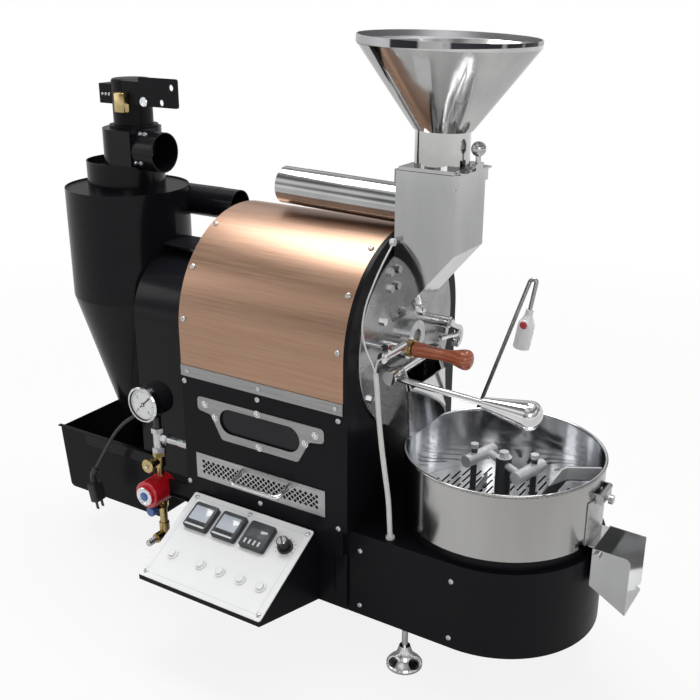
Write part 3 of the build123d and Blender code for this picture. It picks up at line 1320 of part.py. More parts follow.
with BuildPart() as brass_fittings:
    # needle valve with its bonnet
    with Locations((col_x, col_y, valve_low_z)):
        Cylinder(10.0, tee_low_z - valve_low_z, align=MID)
    with BuildSketch(Plane.XY.offset(tee_low_z - 8)):
        with Locations((col_x, col_y)):
            RegularPolygon(12.0, 6)
    extrude(amount=8)
    with BuildSketch(user_plane(col_y)):
        with Locations((col_x, valve_z)):
            Circle(7.0)
    extrude(amount=22)
    with BuildSketch(user_plane(col_y - 22)):
        with Locations((col_x, valve_z)):
            Circle(3.0)
    extrude(amount=14)
    # nipple down to the regulator
    with Locations((col_x, col_y, reg_z + reg_r)):
        Cylinder(6.0, valve_low_z - reg_z - reg_r, align=MID)
    # outlet below the regulator, the small cock and the elbow
    with Locations((col_x, col_y, elbow_z)):
        Cylinder(7.0, reg_z - reg_r - elbow_z, align=MID)
    with BuildSketch(Plane.XY.offset(reg_z - reg_r - 14)):
        with Locations((col_x, col_y)):
            RegularPolygon(10.5, 6)
    extrude(amount=9)
    with BuildSketch(user_plane(col_y)):
        with Locations((col_x, small_z)):
            Circle(5.0)
    extrude(amount=22)
    with Locations((col_x, col_y, elbow_z)):
        Cylinder(elbow_r, 24, align=MID)
    with Locations((col_x, col_y, elbow_z)):
        Sphere(elbow_r)
    with BuildSketch(user_plane(col_y)):
        with Locations((col_x, elbow_z)):
            Circle(elbow_r)
    extrude(amount=elbow_r + 14)
    # hose barb
    with BuildSketch(user_plane(col_y - elbow_r - 14)):
        with Locations((col_x, elbow_z)):
            Circle(5.0)
    extrude(amount=col_y - elbow_r - 14 - barb_y0)
    for i in range(4):
        with BuildSketch(user_plane(col_y - elbow_r - 18 - 5 * i)):
            with Locations((col_x, elbow_z)):
                Circle(6.2)
        extrude(amount=2.2, taper=18)
    with BuildSketch(user_plane(barb_y0)):
        with Locations((col_x, elbow_z)):
            Circle(3.0)
    extrude(amount=-(col_y - elbow_r - 14 - barb_y0), mode=Mode.SUBTRACT)
finish(brass_fittings.part, "brass_fittings")

with BuildPart() as regulator:
    with BuildSketch(user_plane(reg_y1)):
        with Locations((col_x, reg_z)):
            Circle(reg_r)
    extrude(amount=reg_y1 - reg_y0 - 4)
    fillet(regulator.faces().sort_by(Axis.Y)[0].outer_wire().edges(), 4.0)
    fillet(regulator.faces().sort_by(Axis.Y)[-1].outer_wire().edges(), 6.0)
    # adjusting cap on the user's end
    with BuildSketch(user_plane(reg_y0 + 4)):
        with Locations((col_x, reg_z)):
            Circle(reg_r - 7)
    extrude(amount=4)
    # flat seats for the fittings above and below
    block((col_x - 9, col_y - 9, reg_z + reg_r - 4), (col_x + 9, col_y + 9, reg_z + reg_r))
    block((col_x - 9, col_y - 9, reg_z - reg_r), (col_x + 9, col_y + 9, reg_z - reg_r + 4))
finish(regulator.part, "regulator")

with BuildPart() as valve_knob:
    with BuildSketch(user_plane(col_y - 24)):
        with Locations((col_x, valve_z)):
            RegularPolygon(13.0, 12)
            Circle(3.0 + turn_gap, mode=Mode.SUBTRACT)
    extrude(amount=9)
    chamfer(valve_knob.faces().sort_by(Axis.Y)[0].outer_wire().edges(), 1.2)
finish(valve_knob.part, "valve_knob")

with BuildPart() as regulator_knob:
    with BuildSketch(user_plane(col_y - 22 - gap)):
        with Locations((col_x, small_z)):
            Circle(9.0)
    extrude(amount=12)
    chamfer(regulator_knob.faces().sort_by(Axis.Y)[0].outer_wire().edges(), 1.5)
finish(regulator_knob.part, "regulator_knob")

# ------------------------------------------------------------------ console
panel_w, panel_x0 = 245.0, fx - 296.3
panel_top_y, panel_top_z = ay - 181.0, 229.0
panel_low_y, panel_low_z = ay - console_reach, 148.0
panel_len = math.dist((panel_top_y, panel_top_z), (panel_low_y, panel_low_z))
panel_t = 2.0
lip_h = 10.0
console_foot_z = 94.0
console_t = 2.0
slope = Plane(origin=(panel_x0, panel_top_y, panel_top_z), x_dir=(1, 0, 0),
              z_dir=(0, panel_low_z - panel_top_z, panel_top_y - panel_low_y))


def console_outline(inset):
    """Corners of the console's side outline, in y and z, set in by a wall."""
    return [(user_y - inset, panel_top_z - 2.3 - inset * 1.2),
            (panel_top_y - inset, panel_top_z - 2.3 - inset * 1.2),
            (panel_low_y + inset * 1.6 + 0.6, panel_low_z - 2.3 - inset * 0.9),
            (panel_low_y + inset * 1.6 + 0.6, panel_low_z - lip_h + inset * 0.3),
            (ay - chassis_half - inset, console_foot_z + inset * 1.5),
            (ay - chassis_half - inset, skirt_z - 0.3 - inset),
            (user_y - inset, skirt_z - 0.3 - inset)]


with BuildPart() as console_box:
    with BuildSketch(front_plane(panel_x0 + 1)):
        with BuildLine():
            Polyline(*console_outline(0.0), close=True)
        make_face()
    extrude(amount=panel_w - 2)
    with BuildSketch(front_plane(panel_x0 + 1 + console_t)):
        with BuildLine():
            Polyline(*console_outline(console_t), close=True)
        make_face()
    extrude(amount=panel_w - 2 - 2 * console_t, mode=Mode.SUBTRACT)
finish(console_box.part, "console_box")

ctrl, ctrl_up, ctrl_gap = 48.0, 8.0, 10.2
ctrl_u, ctrl_v = 21.9, 19.0
key_v, key_r, key_travel = 118.0, 6.5, 2.5
key_us = [36.0, 95.0, 134.0, 175.0, 214.0]
bezel_r, bezel_h = 9.5, 2.5
knob_u, knob_v = 215.0, 42.0
knob_skirt_r, knob_cap_r, knob_h = 13.0, 9.0, 20.0
key_bore = key_r + gap
with BuildPart() as console_panel:
    with BuildSketch(slope.offset(-panel_t)):
        with Locations((panel_w / 2, -panel_len / 2)):
            RectangleRounded(panel_w, panel_len, 4.0)
    extrude(amount=panel_t)
    with BuildSketch(slope):
        with Locations(*[(u, -key_v) for u in key_us]):
            Circle(bezel_r)
    extrude(amount=bezel_h)
    with BuildSketch(slope.offset(bezel_h)):
        with Locations(*[(u, -key_v) for u in key_us]):
            Circle(key_bore)
    extrude(amount=-bezel_h - 1.2, mode=Mode.SUBTRACT)
    with BuildSketch(slope):
        with Locations((knob_u, -knob_v)):
            Circle(4.0)
    extrude(amount=6.0)
finish(console_panel.part, "console_panel")

with BuildPart() as controllers:
    for i in range(3):
        with BuildSketch(slope):
            with Locations((ctrl_u + ctrl / 2 + i * (ctrl + ctrl_gap), -ctrl_v - ctrl / 2)):
                RectangleRounded(ctrl, ctrl, 4.0)
        extrude(amount=ctrl_up)
        with BuildSketch(slope.offset(ctrl_up)):
            with Locations((ctrl_u + ctrl / 2 + i * (ctrl + ctrl_gap), -ctrl_v - ctrl / 2)):
                Rectangle(ctrl - 12, ctrl - 14)
        extrude(amount=-1.2, mode=Mode.SUBTRACT)
finish(controllers.part, "controllers")

with BuildPart() as speed_knob:
    with BuildSketch(slope.offset(gap)):
        with Locations((knob_u, -knob_v)):
            Circle(knob_skirt_r)
    extrude(amount=5)
    with BuildSketch(slope.offset(gap)):
        with Locations((knob_u, -knob_v)):
            Circle(knob_cap_r)
    extrude(amount=knob_h)
    with BuildSketch(slope.offset(gap)):
        with Locations((knob_u, -knob_v)):
            Circle(4.0 + turn_gap)
    extrude(amount=6.5, mode=Mode.SUBTRACT)
    # pointer rib across the cap
    with BuildSketch(slope.offset(knob_h)):
        with Locations((knob_u, -knob_v)):
            Rectangle(3, 2 * knob_cap_r - 2, rotation=40)
    extrude(amount=1.5)
finish(speed_knob.part, "speed_knob")

for number, u in enumerate(key_us, start=1):
    with BuildPart() as push_button:
        with BuildSketch(slope.offset(1.6)):
            with Locations((u, -key_v)):
                Circle(key_r)
        extrude(amount=bezel_h + key_travel - 0.8)
        chamfer(push_button.faces().sort_by(Axis.Z)[-1].outer_wire().edges(), 0.8)
    finish(push_button.part, "button_" + str(number))

# ------------------------------------------------------------------ lamp and probe leads
lamp_y = ay + 130.0
stem_r = 3.5
stem_foot_x = fx + 44.0
head_axis = (-11.0, 0.0, -67.0)        # way of the lamp head, tilted from plumb
head_top = (fx + 164.0, lamp_y, 553.0)
head_len, head_r, head_neck_r = 68.0, 14.0, 6.5
stem_in = 9.0
switch_h = 5.4
switch_z, switch_r, switch_travel = 529.0, 6.0, 2.0
head_down = Vector(*head_axis).normalized()
head_x = head_top[0] + head_down.X / head_down.Z * (switch_z - head_top[2])

with BuildPart() as lamp_stem:
    with Locations((stem_foot_x, lamp_y, deck_z)):
        Cylinder(14.0, 5.0, align=MID)
    with BuildLine() as route:
        FilletPolyline((stem_foot_x, lamp_y, deck_z + 2), (fx + 161.0, lamp_y, 601.0),
                       (fx + 172.7, lamp_y, 606.0), tuple(Vector(*head_top)),
                       tuple(Vector(*head_top) + head_down * stem_in), radius=[5.0, 4.0, 0.0])
    with BuildSketch(Plane(origin=route.line @ 0, z_dir=route.line % 0)):
        Circle(stem_r)
    sweep(path=route.line)
finish(lamp_stem.part, "lamp_stem")

with BuildPart() as lamp_head:
    with BuildSketch(Plane(origin=head_top, x_dir=(head_down.Z, 0, -head_down.X),
                           z_dir=(0, -1, 0))):
        with BuildLine():
            Polyline((0, 0), (head_neck_r, 0), (head_neck_r, 10), (head_r, 26),
                     (head_r, head_len), (head_r - 2, head_len), (head_r - 3, head_len - 8),
                     (0, head_len - 8), close=True)
        make_face()
    revolve(axis=Axis(head_top, tuple(head_down)))
    with BuildSketch(Plane(origin=head_top, z_dir=tuple(head_down))):
        Circle(stem_r + turn_gap)
    extrude(amount=stem_in + gap, mode=Mode.SUBTRACT)
    # round seat of the switch
    with BuildSketch(user_plane(lamp_y)):
        with Locations((head_x, switch_z)):
            Circle(switch_r + 1.5)
    extrude(amount=head_r + 1)
    with BuildSketch(user_plane(lamp_y - head_r + 5.5)):
        with Locations((head_x, switch_z)):
            Circle(switch_r + gap)
    extrude(amount=12, mode=Mode.SUBTRACT)
finish(lamp_head.part, "lamp_head")

with BuildPart() as lamp_switch:
    with BuildSketch(user_plane(lamp_y - head_r + 5.5 - gap - switch_travel)):
        with Locations((head_x, switch_z)):
            Circle(switch_r)
    extrude(amount=switch_h)
    chamfer(lamp_switch.faces().sort_by(Axis.Y)[0].outer_wire().edges(), 0.8)
finish(lamp_switch.part, "lamp_switch")

sleeve_r, lead_r = 4.0, 1.4


def arcs(points):
    """Radius for each corner of a route: as wide as its two runs allow."""
    radii = []
    for a, b, c in zip(points, points[1:], points[2:]):
        p, q = Vector(*b) - Vector(*a), Vector(*c) - Vector(*b)
        half = math.radians(p.get_angle(q) / 2)
        radii.append(0.45 * min(p.length, q.length) / math.tan(half))
    return radii


lead_points = [(fx + 16.0, ay - 62.0, 684.0), (fx + 16.0, ay - 104.7, 650.0),
               (fx + 16.0, ay - 142.0, 606.7), (fx + 17.0, ay - 153.5, 574.0),
               (fx + 23.0, ay - 152.5, 545.0), (fx + 36.0, ay - 150.5, 520.0),
               (fx + 40.1, ay - 150.0, 500.0)]
sleeve_points = [(fx + 40.1, ay - 150.0, 508.0), (fx + 42.7, ay - 149.5, 480.0),
                 (fx + 46.5, ay - 150.0, 437.4), (fx + 51.9, ay - 150.5, 394.7),
                 (fx + 57.1, ay - 149.5, 355.7), (fx + 65.7, ay - 150.0, 306.8),
                 (fx + 68.6, ay - 150.0, 262.0), (fx + 70.0, ay - 150.0, deck_z - 1)]
bar_lead_points = [(probe_bar_x - 3, bar_end_y, probe_bar_z),
                   (probe_bar_x - 3, bar_end_y - 14, probe_bar_z),
                   (probe_bar_x - 1, bar_end_y - 22.0, 515.0),
                   (fx + 40.1, ay - 150.0, 500.0)]
with BuildPart() as probe_lead:
    # gland on the face plate
    with BuildSketch(front_plane(face_x)):
        with Locations((ay - 62.0, 685.0)):
            RegularPolygon(6.0, 6)
    extrude(amount=fx + 16.0 + 3.0 - face_x)
    for points, radius in ((lead_points, lead_r), (bar_lead_points, lead_r),
                           (sleeve_points, sleeve_r)):
        with BuildLine() as route:
            FilletPolyline(*points, radius=arcs(points))
        with BuildSketch(Plane(origin=route.line @ 0, z_dir=route.line % 0)):
            Circle(radius)
        sweep(path=route.line)
    # grommet in the deck
    with BuildSketch(Plane.XY.offset(deck_z)):
        with Locations((fx + 70.0, ay - 150.0)):
            Circle(sleeve_r + 3)
    extrude(amount=4)
    with BuildSketch(Plane.XY.offset(deck_z)):
        with Locations((fx + 70.0, ay - 150.0)):
            Circle(sleeve_r + 4)
    extrude(amount=-4, mode=Mode.SUBTRACT)
finish(probe_lead.part, "probe_lead")

# ------------------------------------------------------------------ mains cord
cord_r = 3.2
gland_out = 10.0
cord_y = ay - 152.0
cord_points = [(gland_x, ay - housing_r - gland_out, gland_z),
               (gland_x, ay - 138.5, gland_z), (fx - 454.5, cord_y, 322.5),
               (fx - 483.0, cord_y - 1, 302.3), (fx - 511.4, cord_y, 273.0),
               (fx - 544.6, cord_y + 1, 224.1), (fx - 568.0, cord_y, 187.0)]
relief_r = 5.5
cord_end = Vector(*cord_points[-1])
cord_way = (cord_end - Vector(*cord_points[-2])).normalized()
plug_points = [tuple(cord_end), tuple(cord_end + cord_way * 22.0),
               (fx - 577.0, cord_y, 153.0)]
plug_w, plug_d, plug_len = 27.0, 19.0, 36.0
blade_w, blade_t, blade_len, blade_gap = 6.3, 1.5, 16.0, 12.7

with BuildPart() as cord_gland:
    with BuildSketch(user_plane(ay - housing_r + housing_t + 4)):
        with Locations((gland_x, gland_z)):
            RegularPolygon(gland_r + 3, 6)
    extrude(amount=4)
    with BuildSketch(user_plane(ay - housing_r + housing_t)):
        with Locations((gland_x, gland_z)):
            Circle(gland_r - 0.1)
    extrude(amount=housing_t)
    with BuildSketch(user_plane(ay - housing_r)):
        with Locations((gland_x, gland_z)):
            RegularPolygon(gland_r + 3, 6)
    extrude(amount=5)
    with BuildSketch(user_plane(ay - housing_r - 5)):
        with Locations((gland_x, gland_z)):
            Circle(gland_r - 1)
    extrude(amount=gland_out - 5, taper=20)
finish(cord_gland.part, "cord_gland")

cord_radii = arcs(cord_points)
print("cord radii", [round(r, 1) for r in cord_radii])
with BuildPart() as power_cord:
    with BuildLine() as route:
        FilletPolyline(*cord_points, radius=cord_radii)
    with BuildSketch(Plane(origin=route.line @ 0, z_dir=route.line % 0)):
        Circle(cord_r)
    sweep(path=route.line)
cord_len = sum(edge.length for edge in route.edges())
print("cord", round(cord_len), power_cord.part.volume / (math.pi * cord_r ** 2 * cord_len))
finish(power_cord.part, "power_cord")

with BuildPart() as power_plug:
    with BuildLine() as route:
        FilletPolyline(*plug_points, radius=arcs(plug_points))
    with BuildSketch(Plane(origin=route.line @ 0, z_dir=route.line % 0)):
        Circle(relief_r)
    sweep(path=route.line)
    plug_down = Vector(*plug_points[2]) - Vector(*plug_points[1])
    with BuildSketch(Plane(origin=plug_points[2], x_dir=(0, 1, 0), z_dir=tuple(plug_down))):
        RectangleRounded(plug_w, plug_d, 6.0)
    extrude(amount=plug_len)
    chamfer(power_plug.faces().sort_by(Axis.Z)[0].outer_wire().edges(), 1.5)
    far_end = Vector(*plug_points[2]) + plug_down.normalized() * plug_len
    with BuildSketch(Plane(origin=far_end, x_dir=(0, 1, 0), z_dir=tuple(plug_down))):
        with Locations((-blade_gap / 2, 0), (blade_gap / 2, 0)):
            Rectangle(blade_t, blade_w)
    extrude(amount=blade_len)
finish(power_plug.part, "power_plug")
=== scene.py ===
"""Looks of the home coffee roaster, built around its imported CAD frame."""
import math

import bmesh
import bpy
from mathutils import Matrix, Vector


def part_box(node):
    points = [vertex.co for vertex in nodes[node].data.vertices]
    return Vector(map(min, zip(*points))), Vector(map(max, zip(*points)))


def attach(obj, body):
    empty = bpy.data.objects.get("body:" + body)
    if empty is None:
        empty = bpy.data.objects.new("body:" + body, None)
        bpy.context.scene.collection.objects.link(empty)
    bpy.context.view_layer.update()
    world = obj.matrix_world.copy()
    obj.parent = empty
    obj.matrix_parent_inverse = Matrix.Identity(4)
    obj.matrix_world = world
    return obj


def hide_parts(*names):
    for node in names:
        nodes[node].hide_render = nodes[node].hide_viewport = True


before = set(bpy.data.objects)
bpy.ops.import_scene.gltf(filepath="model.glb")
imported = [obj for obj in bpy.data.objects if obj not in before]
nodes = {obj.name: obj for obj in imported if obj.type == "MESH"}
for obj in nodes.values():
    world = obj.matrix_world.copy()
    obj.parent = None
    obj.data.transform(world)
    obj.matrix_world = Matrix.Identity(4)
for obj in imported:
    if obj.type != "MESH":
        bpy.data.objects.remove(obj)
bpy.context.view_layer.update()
X, Y, Z = Vector((1, 0, 0)), Vector((0, 1, 0)), Vector((0, 0, 1))
FRONT_X, AXIS_Y = 0.149, 0.07575    # front end of the housing and the drum's axis, in metres
AXIS_Z = 520                        # height of the drum's axis, in millimetres


def at(x, y, z):
    """Point from millimetres off the housing's front end and the drum axis; z from the floor."""
    return Vector((FRONT_X + x / 1000, AXIS_Y + y / 1000, z / 1000))


# ---------------------------------------------------------------- camera
FOCAL_PX, FRAME_PX, SENSOR_MM = 989.7, 700, 36.0    # fitted to the photograph
CAMERA_AT = (0.8743, -1.24255, 1.0491)
yaw, pitch, roll = (math.radians(a) for a in (32.0, 20.4, 0.2))
ahead = Vector((-math.sin(yaw) * math.cos(pitch), math.cos(yaw) * math.cos(pitch),
                -math.sin(pitch)))
right0 = Vector((math.cos(yaw), math.sin(yaw), 0))
up0 = right0.cross(ahead)
right = math.cos(roll) * right0 + math.sin(roll) * up0
up = -math.sin(roll) * right0 + math.cos(roll) * up0
cam_data = bpy.data.cameras.new("camera")
cam_data.sensor_width = SENSOR_MM
cam_data.lens = FOCAL_PX / FRAME_PX * SENSOR_MM
cam_data.clip_end = 200.0
cam = bpy.data.objects.new("camera", cam_data)
bpy.context.scene.collection.objects.link(cam)
cam.matrix_world = Matrix((
    (right.x, up.x, -ahead.x, CAMERA_AT[0]), (right.y, up.y, -ahead.y, CAMERA_AT[1]),
    (right.z, up.z, -ahead.z, CAMERA_AT[2]), (0, 0, 0, 1)))
bpy.context.scene.camera = cam
bpy.context.scene.view_settings.view_transform = "Standard"


# ---------------------------------------------------------------- node helpers
class Shader:
    """A material's node tree with short calls for what the looks below need."""

    def __init__(self, name, color=(0.5, 0.5, 0.5), rough=0.5, metal=0.0, **sockets):
        self.mat = bpy.data.materials.new(name)
        self.mat.use_nodes = True
        self.tree = self.mat.node_tree
        self.tree.nodes.clear()
        self.out = self.tree.nodes.new("ShaderNodeOutputMaterial")
        self.bsdf = self.tree.nodes.new("ShaderNodeBsdfPrincipled")
        self.link(self.bsdf.outputs[0], self.out.inputs[0])
        self.set("Base Color", (*color, 1))
        self.set("Roughness", rough)
        self.set("Metallic", metal)
        for key, value in sockets.items():
            self.set(key.replace("_", " "), value)
        self.coords = self.tree.nodes.new("ShaderNodeTexCoord").outputs["Object"]

    def link(self, a, b):
        self.tree.links.new(a, b)

    def set(self, socket, value):
        self.bsdf.inputs[socket].default_value = value

    def stretch(self, scale):
        node = self.tree.nodes.new("ShaderNodeMapping")
        node.inputs["Scale"].default_value = scale
        self.link(self.coords, node.inputs["Vector"])
        return node.outputs[0]

    def noise(self, scale, detail=3.0, stretch=(1, 1, 1)):
        node = self.tree.nodes.new("ShaderNodeTexNoise")
        node.inputs["Scale"].default_value = scale
        node.inputs["Detail"].default_value = detail
        self.link(self.stretch(stretch), node.inputs["Vector"])
        return node.outputs["Fac"]

    def wave(self, scale, stretch, kind, distortion=0.0):
        node = self.tree.nodes.new("ShaderNodeTexWave")
        node.bands_direction = kind
        node.inputs["Scale"].default_value = scale
        node.inputs["Distortion"].default_value = distortion
        node.inputs["Detail"].default_value = 2.0
        node.inputs["Detail Scale"].default_value = 1.5
        self.link(self.stretch(stretch), node.inputs["Vector"])
        return node.outputs["Fac"]

    def steps(self, fac, low, high, a=0.0, b=1.0):
        node = self.tree.nodes.new("ShaderNodeMapRange")
        node.inputs["From Min"].default_value = low
        node.inputs["From Max"].default_value = high
        node.inputs["To Min"].default_value = a
        node.inputs["To Max"].default_value = b
        self.link(fac, node.inputs["Value"])
        return node.outputs[0]

    def mix(self, fac, a, b):
        node = self.tree.nodes.new("ShaderNodeMix")
        node.data_type = "RGBA"
        for socket, value in ((node.inputs[6], a), (node.inputs[7], b)):
            if isinstance(value, tuple):
                socket.default_value = (*value, 1)
            else:
                self.link(value, socket)
        self.link(fac, node.inputs[0])
        return node.outputs[2]

    def color(self, output):
        self.link(output, self.bsdf.inputs["Base Color"])
        return self

    def rough(self, output):
        self.link(output, self.bsdf.inputs["Roughness"])
        return self

    def bump(self, output, strength, distance):
        node = self.tree.nodes.new("ShaderNodeBump")
        node.inputs["Strength"].default_value = strength
        node.inputs["Distance"].default_value = distance
        self.link(output, node.inputs["Height"])
        if self.bsdf.inputs["Normal"].links:
            self.link(self.bsdf.inputs["Normal"].links[0].from_socket, node.inputs["Normal"])
        self.link(node.outputs[0], self.bsdf.inputs["Normal"])
        return self

    def math(self, kind, a, b):
        node = self.tree.nodes.new("ShaderNodeMath")
        node.operation = kind
        for socket, value in zip(node.inputs, (a, b)):
            if isinstance(value, (int, float)):
                socket.default_value = value
            else:
                self.link(value, socket)
        return node.outputs[0]

    def radius(self, x, y):
        """Distance from an upright axis."""
        move = self.tree.nodes.new("ShaderNodeMapping")
        move.inputs["Location"].default_value = (-x, -y, 0)
        move.inputs["Scale"].default_value = (1, 1, 0)
        self.link(self.coords, move.inputs["Vector"])
        node = self.tree.nodes.new("ShaderNodeVectorMath")
        node.operation = "LENGTH"
        self.link(move.outputs[0], node.inputs[0])
        return node.outputs["Value"]

    def axis(self, name):
        node = self.tree.nodes.new("ShaderNodeSeparateXYZ")
        self.link(self.coords, node.inputs[0])
        return node.outputs[name]


def coat(name, low, high, rough=0.36, grain=900.0, strength=0.12, coat_weight=0.06):
    s = Shader(name, low, rough, 0.0, Specular_IOR_Level=0.08, Coat_Weight=coat_weight,
               Coat_Roughness=0.12)
    s.color(s.mix(s.noise(7.0, 4.0), low, high))
    s.rough(s.steps(s.noise(16.0, 5.0), 0.3, 0.7, rough - 0.05, rough + 0.07))
    return s.bump(s.noise(grain, 2.0), strength, 0.0002).mat


def metal(name, low, high, rough, spread=0.06, brush=(1, 1, 1), scale=30.0, grain=0.0,
          waves=0.0, **sockets):
    s = Shader(name, low, rough, 1.0, **sockets)
    streaks = s.noise(scale, 6.0, brush)
    s.color(s.mix(s.steps(streaks, 0.3, 0.7), low, high))
    s.rough(s.steps(s.noise(scale, 5.0, brush), 0.3, 0.7, max(rough - spread, 0.02),
                    rough + spread))
    if waves:
        s.bump(s.noise(11.0, 1.5), waves, 0.004)
    if grain:
        s.bump(s.noise(scale * 1.6, 4.0, brush), grain, 0.0003)
    return s.mat


black = coat("black_powder_coat", (0.0045, 0.0045, 0.0058), (0.009, 0.009, 0.0115))
black_gloss = coat("black_gloss_paint", (0.0045, 0.0045, 0.006), (0.008, 0.0085, 0.0105),
                   0.24, 500.0, 0.05, 0.22)
copper = metal("rose_copper_sheet", (0.39, 0.235, 0.16), (0.47, 0.30, 0.21), 0.34, 0.04,
               (0.02, 1, 1), 420.0, 0.10, 0.0, Coat_Weight=0.12, Coat_Roughness=0.3)
brushed = metal("brushed_stainless", (0.29, 0.29, 0.295), (0.38, 0.38, 0.378), 0.34, 0.07,
                (0.05, 1, 1), 240.0, 0.10)
satin = metal("satin_stainless", (0.36, 0.362, 0.365), (0.46, 0.46, 0.458), 0.26, 0.07,
              (1, 1, 1), 40.0, 0.04)
mirror = metal("polished_stainless", (0.43, 0.435, 0.44), (0.54, 0.54, 0.54), 0.09, 0.03,
               (1, 1, 0.3), 14.0, 0.0, 0.20)
chrome = metal("bright_chrome", (0.70, 0.70, 0.71), (0.80, 0.80, 0.81), 0.07, 0.03,
               (1, 1, 1), 60.0)
floor_steel = metal("slotted_floor_steel", (0.56, 0.565, 0.57), (0.68, 0.68, 0.685), 0.20, 0.06,
                    (1, 1, 1), 30.0, 0.04)
zinc = metal("zinc_plate", (0.50, 0.51, 0.52), (0.66, 0.67, 0.68), 0.32, 0.10, (1, 1, 1), 90.0)
drum_steel = metal("heat_tinted_steel", (0.20, 0.18, 0.16), (0.34, 0.32, 0.30), 0.45, 0.1,
                   (1, 1, 1), 25.0)
brass = metal("bright_brass", (0.47, 0.36, 0.165), (0.62, 0.48, 0.24), 0.25, 0.09,
              (1, 1, 1), 70.0, 0.04)


def plastic(name, low, high, rough, **sockets):
    s = Shader(name, low, rough, 0.0, **sockets)
    s.color(s.mix(s.noise(45.0, 3.0), low, high))
    s.rough(s.steps(s.noise(80.0, 3.0), 0.3, 0.7, rough - 0.04, rough + 0.06))
    return s.bump(s.noise(1400.0, 1.0), 0.06, 0.0001).mat


panel = plastic("silver_panel", (0.82, 0.825, 0.83), (0.85, 0.855, 0.86), 0.34)
panel_line = plastic("panel_line", (0.50, 0.53, 0.58), (0.56, 0.59, 0.64), 0.4)
button_white = plastic("button_white", (0.78, 0.79, 0.80), (0.86, 0.865, 0.87), 0.25,
                       Coat_Weight=0.3)
black_plastic = plastic("black_plastic", (0.012, 0.012, 0.014), (0.022, 0.022, 0.025), 0.38)
grey_plastic = plastic("controller_grey", (0.045, 0.05, 0.056), (0.06, 0.066, 0.074), 0.42)
screen_pale = plastic("pale_screen", (0.50, 0.54, 0.60), (0.56, 0.60, 0.66), 0.16,
                      Coat_Weight=0.6, Coat_Roughness=0.05)
screen_dark = plastic("dark_screen", (0.085, 0.09, 0.10), (0.11, 0.115, 0.125), 0.14,
                      Coat_Weight=0.6, Coat_Roughness=0.05)
key_white = plastic("pale_key", (0.62, 0.64, 0.66), (0.70, 0.71, 0.73), 0.36)
red = plastic("regulator_red", (0.50, 0.006, 0.014), (0.60, 0.012, 0.022), 0.22,
              Coat_Weight=0.5, Coat_Roughness=0.08)
blue = plastic("blue_cap", (0.03, 0.10, 0.34), (0.06, 0.17, 0.46), 0.24, Coat_Weight=0.4)
dial_white = plastic("dial_white", (0.80, 0.81, 0.82), (0.86, 0.865, 0.87), 0.45)
ink = plastic("dial_ink", (0.012, 0.012, 0.013), (0.02, 0.02, 0.022), 0.5)
rubber = plastic("cord_rubber", (0.014, 0.014, 0.015), (0.024, 0.024, 0.026), 0.5)
grey_paint = plastic("lamp_enamel", (0.80, 0.81, 0.82), (0.88, 0.885, 0.89), 0.18,
                     Coat_Weight=0.6, Coat_Roughness=0.05)


# where one node changes its finish, in metres
BEZEL_DEPTH = 0.0135                        # the gauge's bright bezel, from its front
SIGHT_STEP = 0.001                          # the drawer's front, before the sight plate
BARB_DEPTH = 0.019                          # the bright hose barb, from its front
TRAY_WALL_R = 0.1557                        # middle of the cooling tray's wall
HOPPER_BAND_H, HOPPER_SHEET = 0.0146, 0.0012
HUB_R, HUB_TOP_Z = 0.0132, 0.3513           # the stirrer's hub, just outside and on top
ARM_LOW_Z, ARM_HIGH_Z = 0.3296, 0.3504      # its arms
POST_BOLT_Z, RAKE_TOP_Z = 0.3577, 0.2625    # its posts' bolts above, its rakes below


def wood():
    s = Shader("varnished_wood", (0.24, 0.07, 0.03), 0.28, 0.0, Coat_Weight=0.35,
               Coat_Roughness=0.10)
    rings = s.wave(52.0, (0.16, 1, 1), "Z", 5.0)
    pores = s.noise(420.0, 4.0, (0.06, 1, 1))
    body = s.mix(rings, (0.30, 0.062, 0.024), (0.47, 0.130, 0.055))
    s.color(s.mix(s.steps(pores, 0.55, 0.75), body, (0.17, 0.036, 0.015)))
    return s.rough(s.steps(pores, 0.3, 0.7, 0.22, 0.36)).mat


def sleeve():
    """Woven glass sleeve: two crossing sets of yarns round the lead."""
    s = Shader("woven_sleeve", (0.62, 0.61, 0.58), 0.7)
    one = s.wave(150.0, (1.0, 1.0, 0.8), "DIAGONAL")
    two = s.wave(150.0, (-1.0, -1.0, 0.8), "DIAGONAL")
    weave = s.math("MULTIPLY", one, two)
    s.color(s.mix(s.noise(60.0), (0.66, 0.65, 0.63), (0.80, 0.79, 0.77)))
    return s.bump(weave, 0.45, 0.0006).mat


def glass():
    s = Shader("sight_glass", (0.012, 0.012, 0.015), 0.09, 0.0, Specular_IOR_Level=0.15,
               Coat_Weight=0.1)
    s.color(s.mix(s.noise(14.0), (0.010, 0.010, 0.013), (0.022, 0.021, 0.024)))
    return s.rough(s.steps(s.noise(22.0, 4.0), 0.3, 0.7, 0.06, 0.14)).mat


def two_metals(name, colors, roughs, edge):
    """One finish in front of the plane y = edge, towards the user, and another behind it."""
    s = Shader(name, colors[0], roughs[0], 1.0)
    ahead = s.math("LESS_THAN", s.axis("Y"), edge)
    grain = s.steps(s.noise(240.0, 4.0, (0.05, 1, 1)), 0.3, 0.7, 0.86, 1.1)
    both = s.mix(ahead, colors[0], colors[1])
    node = s.tree.nodes.new("ShaderNodeVectorMath")
    node.operation = "SCALE"
    s.link(both, node.inputs[0])
    s.link(grain, node.inputs["Scale"])
    s.color(node.outputs[0])
    spread = s.steps(s.noise(60.0, 3.0), 0.3, 0.7, 0.85, 1.2)
    step = s.steps(ahead, 0.0, 1.0, roughs[0], roughs[1])
    return s.rough(s.math("MULTIPLY", spread, step)).mat


